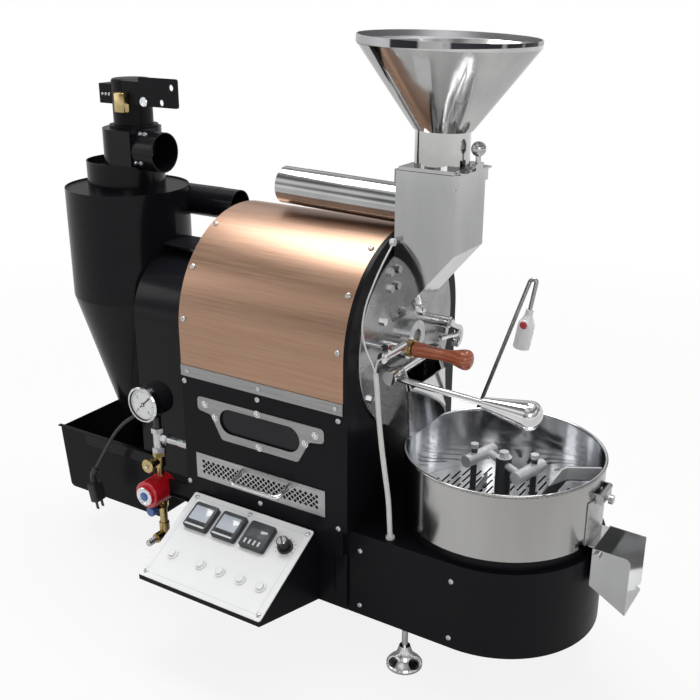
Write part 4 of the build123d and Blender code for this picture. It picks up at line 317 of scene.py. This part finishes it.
def gauge_shell():
    """Chrome bezel in front, black painted case behind it."""
    s = Shader("gauge_shell", (0.74, 0.74, 0.75), 0.08, 1.0)
    ahead = s.math("LESS_THAN", s.axis("Y"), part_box("gauge_case")[0][1] + BEZEL_DEPTH)
    s.link(ahead, s.bsdf.inputs["Metallic"])
    s.color(s.mix(ahead, (0.010, 0.010, 0.012), (0.74, 0.74, 0.75)))
    return s.rough(s.steps(s.noise(60.0), 0.3, 0.7, 0.07, 0.16)).mat


def upright_axis(name):
    """Where the upright axis of a round node stands."""
    lo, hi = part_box(name)
    return (lo[0] + hi[0]) / 2, (lo[1] + hi[1]) / 2


TRAY = upright_axis("tray_floor")


def tray_steel():
    """Satin outside, and polished inside where the beans run."""
    s = Shader("tray_steel", (0.5, 0.5, 0.5), 0.15, 1.0)
    inside = s.math("LESS_THAN", s.radius(*TRAY), TRAY_WALL_R)
    tone = s.mix(s.steps(s.noise(9.0, 5.0, (1, 1, 0.2)), 0.35, 0.65), (0.37, 0.365, 0.36),
                 (0.47, 0.465, 0.455))
    s.color(s.mix(inside, tone, (0.76, 0.77, 0.79)))
    s.rough(s.mix(inside, (0.17, 0.17, 0.17), (0.11, 0.11, 0.11)))
    return s.bump(s.noise(16.0, 2.0), 0.22, 0.003).mat


def hopper_steel():
    """Polished cone, with a rolled band at the top. The band's outside carries a painted
    reflection, dark and pale patches standing in for a dark room mirrored in it; its inside is
    painted a darker steel that dims the lamp's reflection there.
    """
    lo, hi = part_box("hopper")
    s = Shader("hopper_steel", (0.5, 0.5, 0.5), 0.1, 1.0)
    band = s.math("GREATER_THAN", s.axis("Z"), hi[2] - HOPPER_BAND_H)
    outside = s.math("GREATER_THAN", s.radius(*upright_axis("hopper")),
                     (hi[1] - lo[1]) / 2 - HOPPER_SHEET)
    cone = s.mix(s.steps(s.noise(14.0, 3.0, (1, 1, 0.3)), 0.35, 0.65), (0.43, 0.43, 0.43),
                 (0.54, 0.54, 0.53))
    # painted reflection: sharp dark and pale patches round the band stand in for a dark room
    # mirrored in it
    patches = s.mix(s.steps(s.noise(17.0, 2.0, (1, 1, 0.02)), 0.47, 0.50), (0.035, 0.036, 0.04),
                    (0.46, 0.46, 0.47))
    # painted shade: the band's inner side gets a darker steel so the lamp's reflection there
    # stays dim
    s.color(s.mix(band, cone, s.mix(outside, (0.30, 0.30, 0.31), patches)))
    s.rough(s.mix(band, (0.09, 0.09, 0.09), (0.42, 0.42, 0.42)))
    return s.bump(s.noise(14.0, 2.0), 0.20, 0.003).mat


def stirrer_cast():
    """Pale cast arms and rakes, on a dark hub and dark posts with bright bolts."""
    s = Shader("stirrer_cast", (0.6, 0.6, 0.6), 0.36, 0.65)
    z, r = s.axis("Z"), s.radius(*TRAY)
    arms = s.math("MULTIPLY", s.math("GREATER_THAN", z, ARM_LOW_Z),
                  s.math("MULTIPLY", s.math("LESS_THAN", z, ARM_HIGH_Z),
                         s.math("GREATER_THAN", r, HUB_R)))
    hub_bolt = s.math("MULTIPLY", s.math("GREATER_THAN", z, HUB_TOP_Z),
                      s.math("LESS_THAN", r, HUB_R))
    ends = s.math("MAXIMUM", s.math("GREATER_THAN", z, POST_BOLT_Z),
                  s.math("LESS_THAN", z, RAKE_TOP_Z))
    bright = s.math("MAXIMUM", arms, s.math("MAXIMUM", hub_bolt, ends))
    pale = s.mix(s.noise(90.0, 4.0), (0.60, 0.61, 0.63), (0.80, 0.80, 0.81))
    s.color(s.mix(bright, (0.075, 0.078, 0.08), pale))
    s.rough(s.steps(s.noise(130.0, 3.0), 0.3, 0.7, 0.28, 0.46))
    return s.bump(s.noise(260.0, 3.0), 0.10, 0.0003).mat


wood_mat, sleeve_mat, glass_mat, gauge_mat = wood(), sleeve(), glass(), gauge_shell()
drawer_mat = two_metals("drawer_mesh", ((0.42, 0.42, 0.425), (0.78, 0.78, 0.785)),
                        (0.30, 0.14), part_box("sight_plate")[0][1] - SIGHT_STEP)
brass_mat = two_metals("brass_and_barb", ((0.52, 0.40, 0.19), (0.62, 0.62, 0.63)),
                       (0.26, 0.20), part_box("brass_fittings")[0][1] + BARB_DEPTH)

looks = {
    "body_box": black, "drum_cover": copper, "trim_strips": brushed, "front_plate": black,
    "face_plate": satin, "sight_plate": brushed, "sight_glass": glass_mat,
    "roasting_drum": drum_steel, "drum_bearings": zinc, "base_plenum": black,
    "levelling_feet": chrome, "cooling_tray": tray_steel(), "tray_floor": floor_steel,
    "tray_gate": satin, "tray_spout": mirror, "stirrer": stirrer_cast(), "hopper": hopper_steel(),
    "hopper_cap": mirror, "slide_gate": mirror, "feed_chute": mirror, "exhaust_pipe": mirror,
    "discharge_mouth": satin, "discharge_door": chrome, "front_fittings": chrome,
    "latch_hook": chrome, "trier_bush": brass, "trier": chrome, "trier_handle": wood_mat,
    "chaff_drawer": drawer_mat, "burner": zinc, "rear_housing": black_gloss, "chaff_bin": black,
    "cyclone_body": black_gloss, "cyclone_shelf": black, "blower_volute": black_gloss,
    "blower_wheel": zinc, "blower_motor": black, "gauge_case": gauge_mat, "gauge_needle": ink,
    "gas_fittings": zinc, "brass_fittings": brass_mat, "regulator": red, "valve_knob": brass,
    "regulator_knob": blue, "console_box": black, "console_panel": panel,
    "controllers": black_plastic, "speed_knob": black_plastic, "lamp_stem": satin,
    "lamp_head": grey_paint, "lamp_switch": red, "probe_lead": sleeve_mat,
    "cord_gland": black_plastic, "power_cord": rubber, "power_plug": rubber,
}
for number in range(1, 6):
    looks["button_%d" % number] = button_white
for name, node in nodes.items():
    if not node.material_slots:
        node.data.materials.append(looks[name])
    for place in node.material_slots:
        place.link = "OBJECT"
        place.material = looks[name]


# ---------------------------------------------------------------- piece helpers
def finish_piece(bm, name, mat, body, smooth=True):
    """Turn a bmesh into a named piece that rides a body."""
    bmesh.ops.recalc_face_normals(bm, faces=bm.faces[:])
    mesh = bpy.data.meshes.new(name)
    bm.to_mesh(mesh)
    bm.free()
    for poly in mesh.polygons:
        poly.use_smooth = smooth
    if smooth:
        mesh.set_sharp_from_angle(angle=math.radians(35))
    mesh.materials.append(mat)
    piece = bpy.data.objects.new(name, mesh)
    bpy.context.scene.collection.objects.link(piece)
    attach(piece, body)
    return piece


def across(way):
    """Two unit vectors square to a direction."""
    way = way.normalized()
    side = way.cross(Z if abs(way.z) < 0.9 else X).normalized()
    return side, way.cross(side)


def lathe(bm, origin, way, profile, count=20, turn=0.0):
    """Turned shape: profile is (height along the axis, radius), in metres."""
    way = way.normalized()
    side, other = across(way)
    rings = []
    for h, r in profile:
        if r < 1e-7:
            rings.append([bm.verts.new(origin + way * h)])
            continue
        rings.append([bm.verts.new(origin + way * h
                      + side * r * math.cos(turn + 2 * math.pi * i / count)
                      + other * r * math.sin(turn + 2 * math.pi * i / count))
                      for i in range(count)])
    for a, b in zip(rings, rings[1:]):
        for i in range(count):
            j = (i + 1) % count
            ring = [a[i % len(a)], a[j % len(a)], b[j % len(b)], b[i % len(b)]]
            ring = list(dict.fromkeys(ring))
            if len(ring) > 2:
                bm.faces.new(ring)


def pan_head(bm, origin, way, r, h, slot_turn=0.0):
    """Round-headed screw with a round recess."""
    lathe(bm, origin, way, [(-0.0006, r), (h * 0.35, r), (h * 0.75, r * 0.84), (h, r * 0.5),
                            (h, r * 0.30), (h * 0.55, r * 0.26), (h * 0.5, 0)], 16, slot_turn)


def hex_head(bm, origin, way, r, h, turn=0.0):
    """Washer with a hexagon head on it."""
    lathe(bm, origin, way, [(-0.0004, 0), (-0.0004, r * 1.45), (0.0012, r * 1.45),
                            (0.0012, 0)], 24)
    lathe(bm, origin, way, [(0.001, r), (h - 0.0008, r), (h, r * 0.86), (h, 0)], 6, turn)


def slab(bm, centre, axes, size, bevel):
    """Box with rounded edges; axes are its three unit vectors."""
    made = bmesh.ops.create_cube(bm, size=1.0)["verts"]
    turn = Matrix((axes[0], axes[1], axes[2])).transposed()
    for v in made:
        v.co = centre + turn @ Vector([c * s for c, s in zip(v.co, size)])
    if bevel:
        edges = list({e for v in made for e in v.link_edges})
        bmesh.ops.bevel(bm, geom=edges, offset=bevel, segments=2, affect="EDGES",
                        profile=0.5)


# ---------------------------------------------------------------- mains cord
CORD_R = 0.0032
cord_data = bpy.data.curves.new("mains_cord", "CURVE")
cord_data.dimensions = "3D"
cord_data.bevel_depth = CORD_R
cord_data.bevel_resolution = 6
cord_data.resolution_u = 24
cord_data.use_fill_caps = True
route = [at(-440, -117.0, 330), at(-440, -138.5, 330), at(-454.5, -152, 322.5),
         at(-483, -153, 302.3), at(-511.4, -152, 273), at(-544.6, -151, 224.1),
         at(-568, -152, 187)]
spline = cord_data.splines.new("NURBS")
spline.points.add(len(route) - 1)
for p, co in zip(spline.points, route):
    p.co = (*co, 1)
spline.order_u = 3
spline.use_endpoint_u = True
cord_data.materials.append(rubber)
mains_cord = bpy.data.objects.new("mains_cord", cord_data)
bpy.context.scene.collection.objects.link(mains_cord)
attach(mains_cord, "frame")
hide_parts("power_cord")

# tapered strain relief with its ribs, from the gland's nose along the cord
bm = bmesh.new()
profile = [(-0.006, 0.0), (-0.006, 0.0078), (0.0, 0.0078)]
for i in range(6):
    h = 0.001 + i * 0.0036
    r = 0.0072 - i * 0.0005
    profile += [(h, r), (h + 0.0022, r - 0.0001), (h + 0.0024, r - 0.0012),
                (h + 0.0034, r - 0.0012)]
profile += [(0.0232, 0.0040), (0.0232, 0.0033)]
lathe(bm, route[0], route[1] - route[0], profile, 24)
relief = finish_piece(bm, "cord_relief", rubber, "frame")

# ---------------------------------------------------------------- screws
COVER_R = 0.1772                            # outside of the drum cover
SCREW_R, SCREW_H = 0.0047, 0.0030           # pan heads on the cover and the body
FAR_COVER_H, FAR_BODY_H = 0.0012, 0.0014    # lower heads where the far side is the widest
bm = bmesh.new()
for x in (-306, -10):
    for angle in (62, 34, 6):
        a = math.radians(angle)
        for side in (-1, 1):
            out = Vector((0, side * math.cos(a), math.sin(a)))
            high = SCREW_H if side < 0 or angle > 20 else FAR_COVER_H
            pan_head(bm, at(x, 0, AXIS_Z) + out * COVER_R, out, SCREW_R, high, angle)
finish_piece(bm, "cover_screws", zinc, "frame")

body_lo, body_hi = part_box("body_box")
strip_lo, strip_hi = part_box("trim_strips")
plate_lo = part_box("sight_plate")[0]
base_lo, base_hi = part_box("base_plenum")
bm = bmesh.new()
strip_z = (strip_lo[2] + strip_hi[2]) / 2
for x in (-302, -157, -13):
    pan_head(bm, Vector((at(x, 0, 0).x, strip_lo[1], strip_z)), -Y, 0.0038, 0.0024, x)
for x in (-310, -160, -8):
    for z in (430.4, 245.5):
        for y, out, high in ((body_lo[1], -Y, SCREW_H), (body_hi[1], Y, FAR_BODY_H)):
            pan_head(bm, Vector((at(x, 0, 0).x, y, z / 1000)), out, SCREW_R, high, x + z)
for x, z in ((24.7, 210), (183.8, 210), (24.7, 110), (183.8, 110)):
    for y, out in ((base_lo[1], -Y), (base_hi[1], Y)):
        pan_head(bm, Vector((at(x, 0, 0).x, y, z / 1000)), out, 0.0045, SCREW_H, x + z)
finish_piece(bm, "housing_screws", zinc, "frame")

bm = bmesh.new()
for x, z in ((-267.5, 398), (-247.5, 378.6), (-160.5, 405.8), (-49.6, 396.3),
             (-68.5, 377.9), (-158.6, 347.4)):
    spot = Vector((at(x, 0, 0).x, plate_lo[1], z / 1000))
    lathe(bm, spot, -Y, [(-0.0005, 0), (-0.0005, 0.0062), (0.0009, 0.0062), (0.0009, 0)], 20)
    pan_head(bm, spot - Y * 0.0008, -Y, 0.0044, 0.0034, x)
finish_piece(bm, "sight_screws", chrome, "frame")

# ---------------------------------------------------------------- control panel
slope_down = Vector((0, -0.8786, -0.4776))
slope_out = Vector((0, -0.4776, 0.8786))
panel_origin = at(-296.3, -181, 229)
KNOB_U, KNOB_V = 215, 42
DIAL_START = 225                            # where both scales begin, in degrees


def on_panel(u, v, h=0.0):
    """Point on the sloping panel: u across, v down and h off its face, in millimetres."""
    return panel_origin + X * u / 1000 + slope_down * v / 1000 + slope_out * h / 1000


slope_axes = (X, -slope_down, slope_out)
bm = bmesh.new()
for u, v in ((10, 8.5), (237.5, 8.5), (10, 160), (237.5, 160), (122, 8.5)):
    pan_head(bm, on_panel(u, v), slope_out, 0.0042, 0.0020, u)
finish_piece(bm, "panel_screws", zinc, "frame")

frames, screens, dark_screens = bmesh.new(), bmesh.new(), bmesh.new()
keys, dark_keys, strips = bmesh.new(), bmesh.new(), bmesh.new()
for number, u in enumerate((21.9, 80.1, 138.2)):
    mid = u + 24
    pale = number < 2
    slab(frames, on_panel(mid, 43, 8.3), slope_axes, (0.0455, 0.0455, 0.0012), 0.0005)
    if pale:
        slab(screens, on_panel(mid - 1, 39.5, 9.1), slope_axes, (0.037, 0.027, 0.0008), 0.0003)
        slab(strips, on_panel(mid - 1, 62.5, 9.0), slope_axes, (0.040, 0.0032, 0.0008), 0.0003)
    else:
        slab(dark_screens, on_panel(mid, 37.5, 9.1), slope_axes, (0.034, 0.021, 0.0008), 0.0003)
    for k in range(4):
        slab(dark_keys if pale else keys, on_panel(mid - 14.5 + 9 * k, 57.0, 9.4), slope_axes,
             (0.0062, 0.0034, 0.0016) if pale else (0.0036, 0.0085, 0.0016), 0.0006)
finish_piece(frames, "controller_faces", grey_plastic, "frame")
finish_piece(screens, "controller_screens", screen_pale, "frame")
finish_piece(strips, "controller_strips", key_white, "frame")
finish_piece(dark_screens, "controller_dark_screen", screen_dark, "frame")
finish_piece(dark_keys, "controller_dark_keys", ink, "frame")
finish_piece(keys, "controller_keys", key_white, "frame")

# fine line printed round the panel, and a bright ring round each button
bm = bmesh.new()
for v in (9.5, 160.5):
    slab(bm, on_panel(122.4, v, 0.05), slope_axes, (0.222, 0.0005, 0.0002), 0)
for u in (11.4, 233.5):
    slab(bm, on_panel(u, 85, 0.05), slope_axes, (0.0005, 0.151, 0.0002), 0)
finish_piece(bm, "panel_outline", panel_line, "frame", smooth=False)
bm = bmesh.new()
for u in (36, 95, 134, 175, 214):
    lathe(bm, on_panel(u, 118), slope_out,
          [(0.0002, 0.0078), (0.0014, 0.0079), (0.0021, 0.0084), (0.0021, 0.0090),
           (0.0012, 0.0098), (0.0002, 0.0100)], 36)
finish_piece(bm, "button_rings", chrome, "frame")

# silver cap of the speed knob, knurled skirt, and scale marks round it
bm = bmesh.new()
lathe(bm, on_panel(KNOB_U, KNOB_V, 19.6), slope_out,
      [(0, 0), (0, 0.0076), (0.0012, 0.0076), (0.0017, 0.0070), (0.0017, 0)], 32)
finish_piece(bm, "knob_cap", chrome, "dial")
bm = bmesh.new()
for i in range(28):
    a = 2 * math.pi * i / 28
    out = X * math.cos(a) - slope_down * math.sin(a)
    slab(bm, on_panel(KNOB_U, KNOB_V, 12) + out * 0.0091,
         (out, out.cross(slope_out), slope_out), (0.0012, 0.0009, 0.013), 0.0002)
finish_piece(bm, "knob_grip", black_plastic, "dial")
bm = bmesh.new()
for i in range(11):
    a = math.radians(DIAL_START - 27 * i)
    out = X * math.cos(a) - slope_down * math.sin(a)
    slab(bm, on_panel(KNOB_U, KNOB_V, 0.15) + out * 0.0165,
         (out, out.cross(slope_out), slope_out), (0.0028, 0.0005, 0.0003), 0)
finish_piece(bm, "knob_scale", ink, "frame", smooth=False)

# ---------------------------------------------------------------- gauge dial
dial_at = at(-390, -196, 375)
bm = bmesh.new()
lathe(bm, dial_at - Y * 0.0001, -Y, [(0, 0), (0, 0.0272), (0.0004, 0.0272), (0.0004, 0)], 48)
finish_piece(bm, "gauge_dial", dial_white, "frame")
bm = bmesh.new()
for i in range(31):
    a = math.radians(DIAL_START - 9 * i)
    out = X * math.cos(a) + Z * math.sin(a)
    long = i % 5 == 0
    slab(bm, dial_at - Y * 0.00055 + out * (0.0225 if long else 0.0236),
         (out, Y, out.cross(Y)), (0.0045 if long else 0.0024, 0.0002,
                                  0.0007 if long else 0.0004), 0)
finish_piece(bm, "gauge_marks", ink, "frame", smooth=False)
for i in range(4):
    a = math.radians(DIAL_START - 90 * i)
    data = bpy.data.curves.new("gauge_number_%d" % i, "FONT")
    data.body = str(2 * i)
    data.size = 0.0075
    data.align_x, data.align_y = "CENTER", "CENTER"
    data.extrude = 0.0001
    data.materials.append(ink)
    digit = bpy.data.objects.new("gauge_number_%d" % i, data)
    bpy.context.scene.collection.objects.link(digit)
    digit.matrix_world = (Matrix.Translation(dial_at - Y * 0.0006
                          + (X * math.cos(a) + Z * math.sin(a)) * 0.0165)
                          @ Matrix.Rotation(math.radians(90), 4, "X"))
    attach(digit, "frame")
bm = bmesh.new()
lathe(bm, dial_at + Y * 0.0002, -Y, [(0.0008, 0.0268), (0.0022, 0.0268), (0.0034, 0.0279),
                                     (0.0008, 0.0279)], 48)
finish_piece(bm, "gauge_ring", ink, "frame")

# bright plate and blue cap on the regulator's end
reg_lo, reg_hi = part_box("regulator")
reg_end = Vector(((reg_lo[0] + reg_hi[0]) / 2, reg_lo[1], 0.205))
bm = bmesh.new()
lathe(bm, reg_end, -Y, [(-0.0005, 0), (-0.0005, 0.0172), (0.0006, 0.0172), (0.0016, 0.0160),
                        (0.0016, 0.0135), (0.0008, 0.0125), (0.0008, 0)], 40)
finish_piece(bm, "regulator_plate", chrome, "frame")
bm = bmesh.new()
lathe(bm, reg_end, -Y, [(0.0004, 0), (0.0004, 0.0085), (0.0018, 0.0082), (0.0030, 0.0060),
                        (0.0034, 0.0)], 28)
finish_piece(bm, "regulator_cap", blue, "frame")

# ---------------------------------------------------------------- blower
mouth_y, mouth_z, mouth_r = -27, 771, 34.2  # the mouth tube's axis and outside
bm = bmesh.new()
for x, turn in ((-500, 118), (-489, 118), (-500, 208), (-489, 208), (-489, 28)):
    out = Vector((0, math.cos(math.radians(turn)), math.sin(math.radians(turn))))
    hex_head(bm, at(x, mouth_y + mouth_r * out.y, mouth_z + mouth_r * out.z), out,
             0.0029, 0.0042, x)
finish_piece(bm, "mouth_bolts", zinc, "frame")
bm = bmesh.new()
lathe(bm, at(-489.1, -39.6, 856.2), -Y,
      [(0, 0), (0, 0.0085), (0.0022, 0.0085), (0.0032, 0.0074), (0.0032, 0.0040),
       (0.0024, 0.0034), (0.0024, 0)], 32)
finish_piece(bm, "motor_bolt", chrome, "frame")
bm = bmesh.new()
slab(bm, at(-536.4, -46.2, 853), (X, Y, Z), (0.024, 0.014, 0.034), 0.003)
finish_piece(bm, "motor_capacitor", brass, "frame")
bm = bmesh.new()
for i in range(3):
    pan_head(bm, at(-604 + 8 * i, -22, 862), -Y, 0.0028, 0.0018, i)
finish_piece(bm, "terminal_screws", zinc, "frame")

# ---------------------------------------------------------------- floor, light, world
FLOOR_HALF, FLOOR_DROP = 60.0, 0.0005
bm = bmesh.new()
bmesh.ops.create_grid(bm, x_segments=1, y_segments=1, size=FLOOR_HALF)
mesh = bpy.data.meshes.new("floor")
bm.to_mesh(mesh)
bm.free()
floor = bpy.data.objects.new("floor", mesh)
floor.location.z = -FLOOR_DROP
bpy.context.scene.collection.objects.link(floor)
s = Shader("pale_floor", (0.66, 0.66, 0.66), 0.9)
path = s.tree.nodes.new("ShaderNodeLightPath")
mirrored = s.math("MAXIMUM", path.outputs["Is Glossy Ray"],
                  path.outputs["Is Transmission Ray"])
glow = s.tree.nodes.new("ShaderNodeEmission")
glow.inputs["Strength"].default_value = 1.0
both = s.tree.nodes.new("ShaderNodeMixShader")
length = s.tree.nodes.new("ShaderNodeVectorMath")
length.operation = "LENGTH"
s.link(s.coords, length.inputs[0])
# its own shade near the machine, white further off; what mirrors see of it starts dark
near_seen = s.steps(length.outputs["Value"], 0.9, 2.6, 0.86, 1.0)
near_mirrored = s.steps(length.outputs["Value"], 1.2, 6.0, 0.10, 1.0)
s.link(s.math("MAXIMUM", s.math("MULTIPLY", path.outputs["Is Camera Ray"], near_seen),
              s.math("MULTIPLY", mirrored, near_mirrored)), both.inputs[0])
s.link(s.bsdf.outputs[0], both.inputs[1])
s.link(glow.outputs[0], both.inputs[2])
s.link(both.outputs[0], s.out.inputs[0])
floor.data.materials.append(s.mat)

world = bpy.data.worlds.new("studio")
bpy.context.scene.world = world
world.use_nodes = True
tree = world.node_tree
tree.nodes.clear()
out = tree.nodes.new("ShaderNodeOutputWorld")
path = tree.nodes.new("ShaderNodeLightPath")


def background(strength, color=None):
    node = tree.nodes.new("ShaderNodeBackground")
    node.inputs["Strength"].default_value = strength
    if color is not None:
        tree.links.new(color, node.inputs["Color"])
    else:
        node.inputs["Color"].default_value = (1, 1, 1, 1)
    return node.outputs[0]


# a pale room with darker walls low down and between its windows, for the bright metal
coords = tree.nodes.new("ShaderNodeTexCoord").outputs["Generated"]
split = tree.nodes.new("ShaderNodeSeparateXYZ")
tree.links.new(coords, split.inputs[0])
ramp = tree.nodes.new("ShaderNodeValToRGB")
ramp.color_ramp.elements[0].color = (1, 1, 1, 1)
ramp.color_ramp.elements[1].color = (0.45, 0.45, 0.46, 1)
for where, shade in ((0.07, 0.9), (0.14, 0.42), (0.24, 0.36), (0.36, 0.85), (0.50, 0.95),
                     (0.60, 0.42), (0.72, 0.40), (0.84, 1.0)):
    ramp.color_ramp.elements.new(where).color = (shade, shade, shade, 1)
tree.links.new(split.outputs["Z"], ramp.inputs[0])
patches = tree.nodes.new("ShaderNodeTexNoise")
patches.inputs["Scale"].default_value = 2.2
patches.inputs["Detail"].default_value = 1.0
tree.links.new(coords, patches.inputs["Vector"])
dark = tree.nodes.new("ShaderNodeMapRange")
dark.inputs["From Min"].default_value, dark.inputs["From Max"].default_value = 0.42, 0.55
dark.inputs["To Min"].default_value, dark.inputs["To Max"].default_value = 0.40, 1.0
tree.links.new(patches.outputs["Fac"], dark.inputs["Value"])
tint = tree.nodes.new("ShaderNodeMix")
tint.data_type, tint.blend_type = "RGBA", "MULTIPLY"
tint.inputs[0].default_value = 1.0
tree.links.new(ramp.outputs["Color"], tint.inputs[6])
tree.links.new(dark.outputs[0], tint.inputs[7])
room = background(1.0, tint.outputs[2])
fill = background(0.5)
white = background(1.0)


def choose(fac, a, b):
    node = tree.nodes.new("ShaderNodeMixShader")
    tree.links.new(fac, node.inputs[0])
    tree.links.new(a, node.inputs[1])
    tree.links.new(b, node.inputs[2])
    return node.outputs[0]


mirrored = choose(path.outputs["Is Glossy Ray"], fill, room)
through = choose(path.outputs["Is Transmission Ray"], mirrored, white)
tree.links.new(choose(path.outputs["Is Camera Ray"], through, white), out.inputs[0])


def lamp(name, place, target, size, power):
    data = bpy.data.lights.new(name, "AREA")
    data.shape = "RECTANGLE"
    data.size, data.size_y = size
    data.energy = power
    light = bpy.data.objects.new(name, data)
    light.location = place
    way = (Vector(target) - Vector(place)).normalized()
    light.rotation_euler = way.to_track_quat("-Z", "Y").to_euler()
    bpy.context.scene.collection.objects.link(light)


lamp("top_light", (-0.2, 0.35, 2.3), (-0.1, 0.05, 0.5), (2.0, 1.1), 52.0)
lamp("front_light", (1.9, -2.3, 1.7), (0, 0, 0.4), (1.4, 1.4), 12.0)
lamp("left_light", (-2.6, -1.6, 1.5), (0, 0, 0.4), (1.2, 1.6), 7.0)
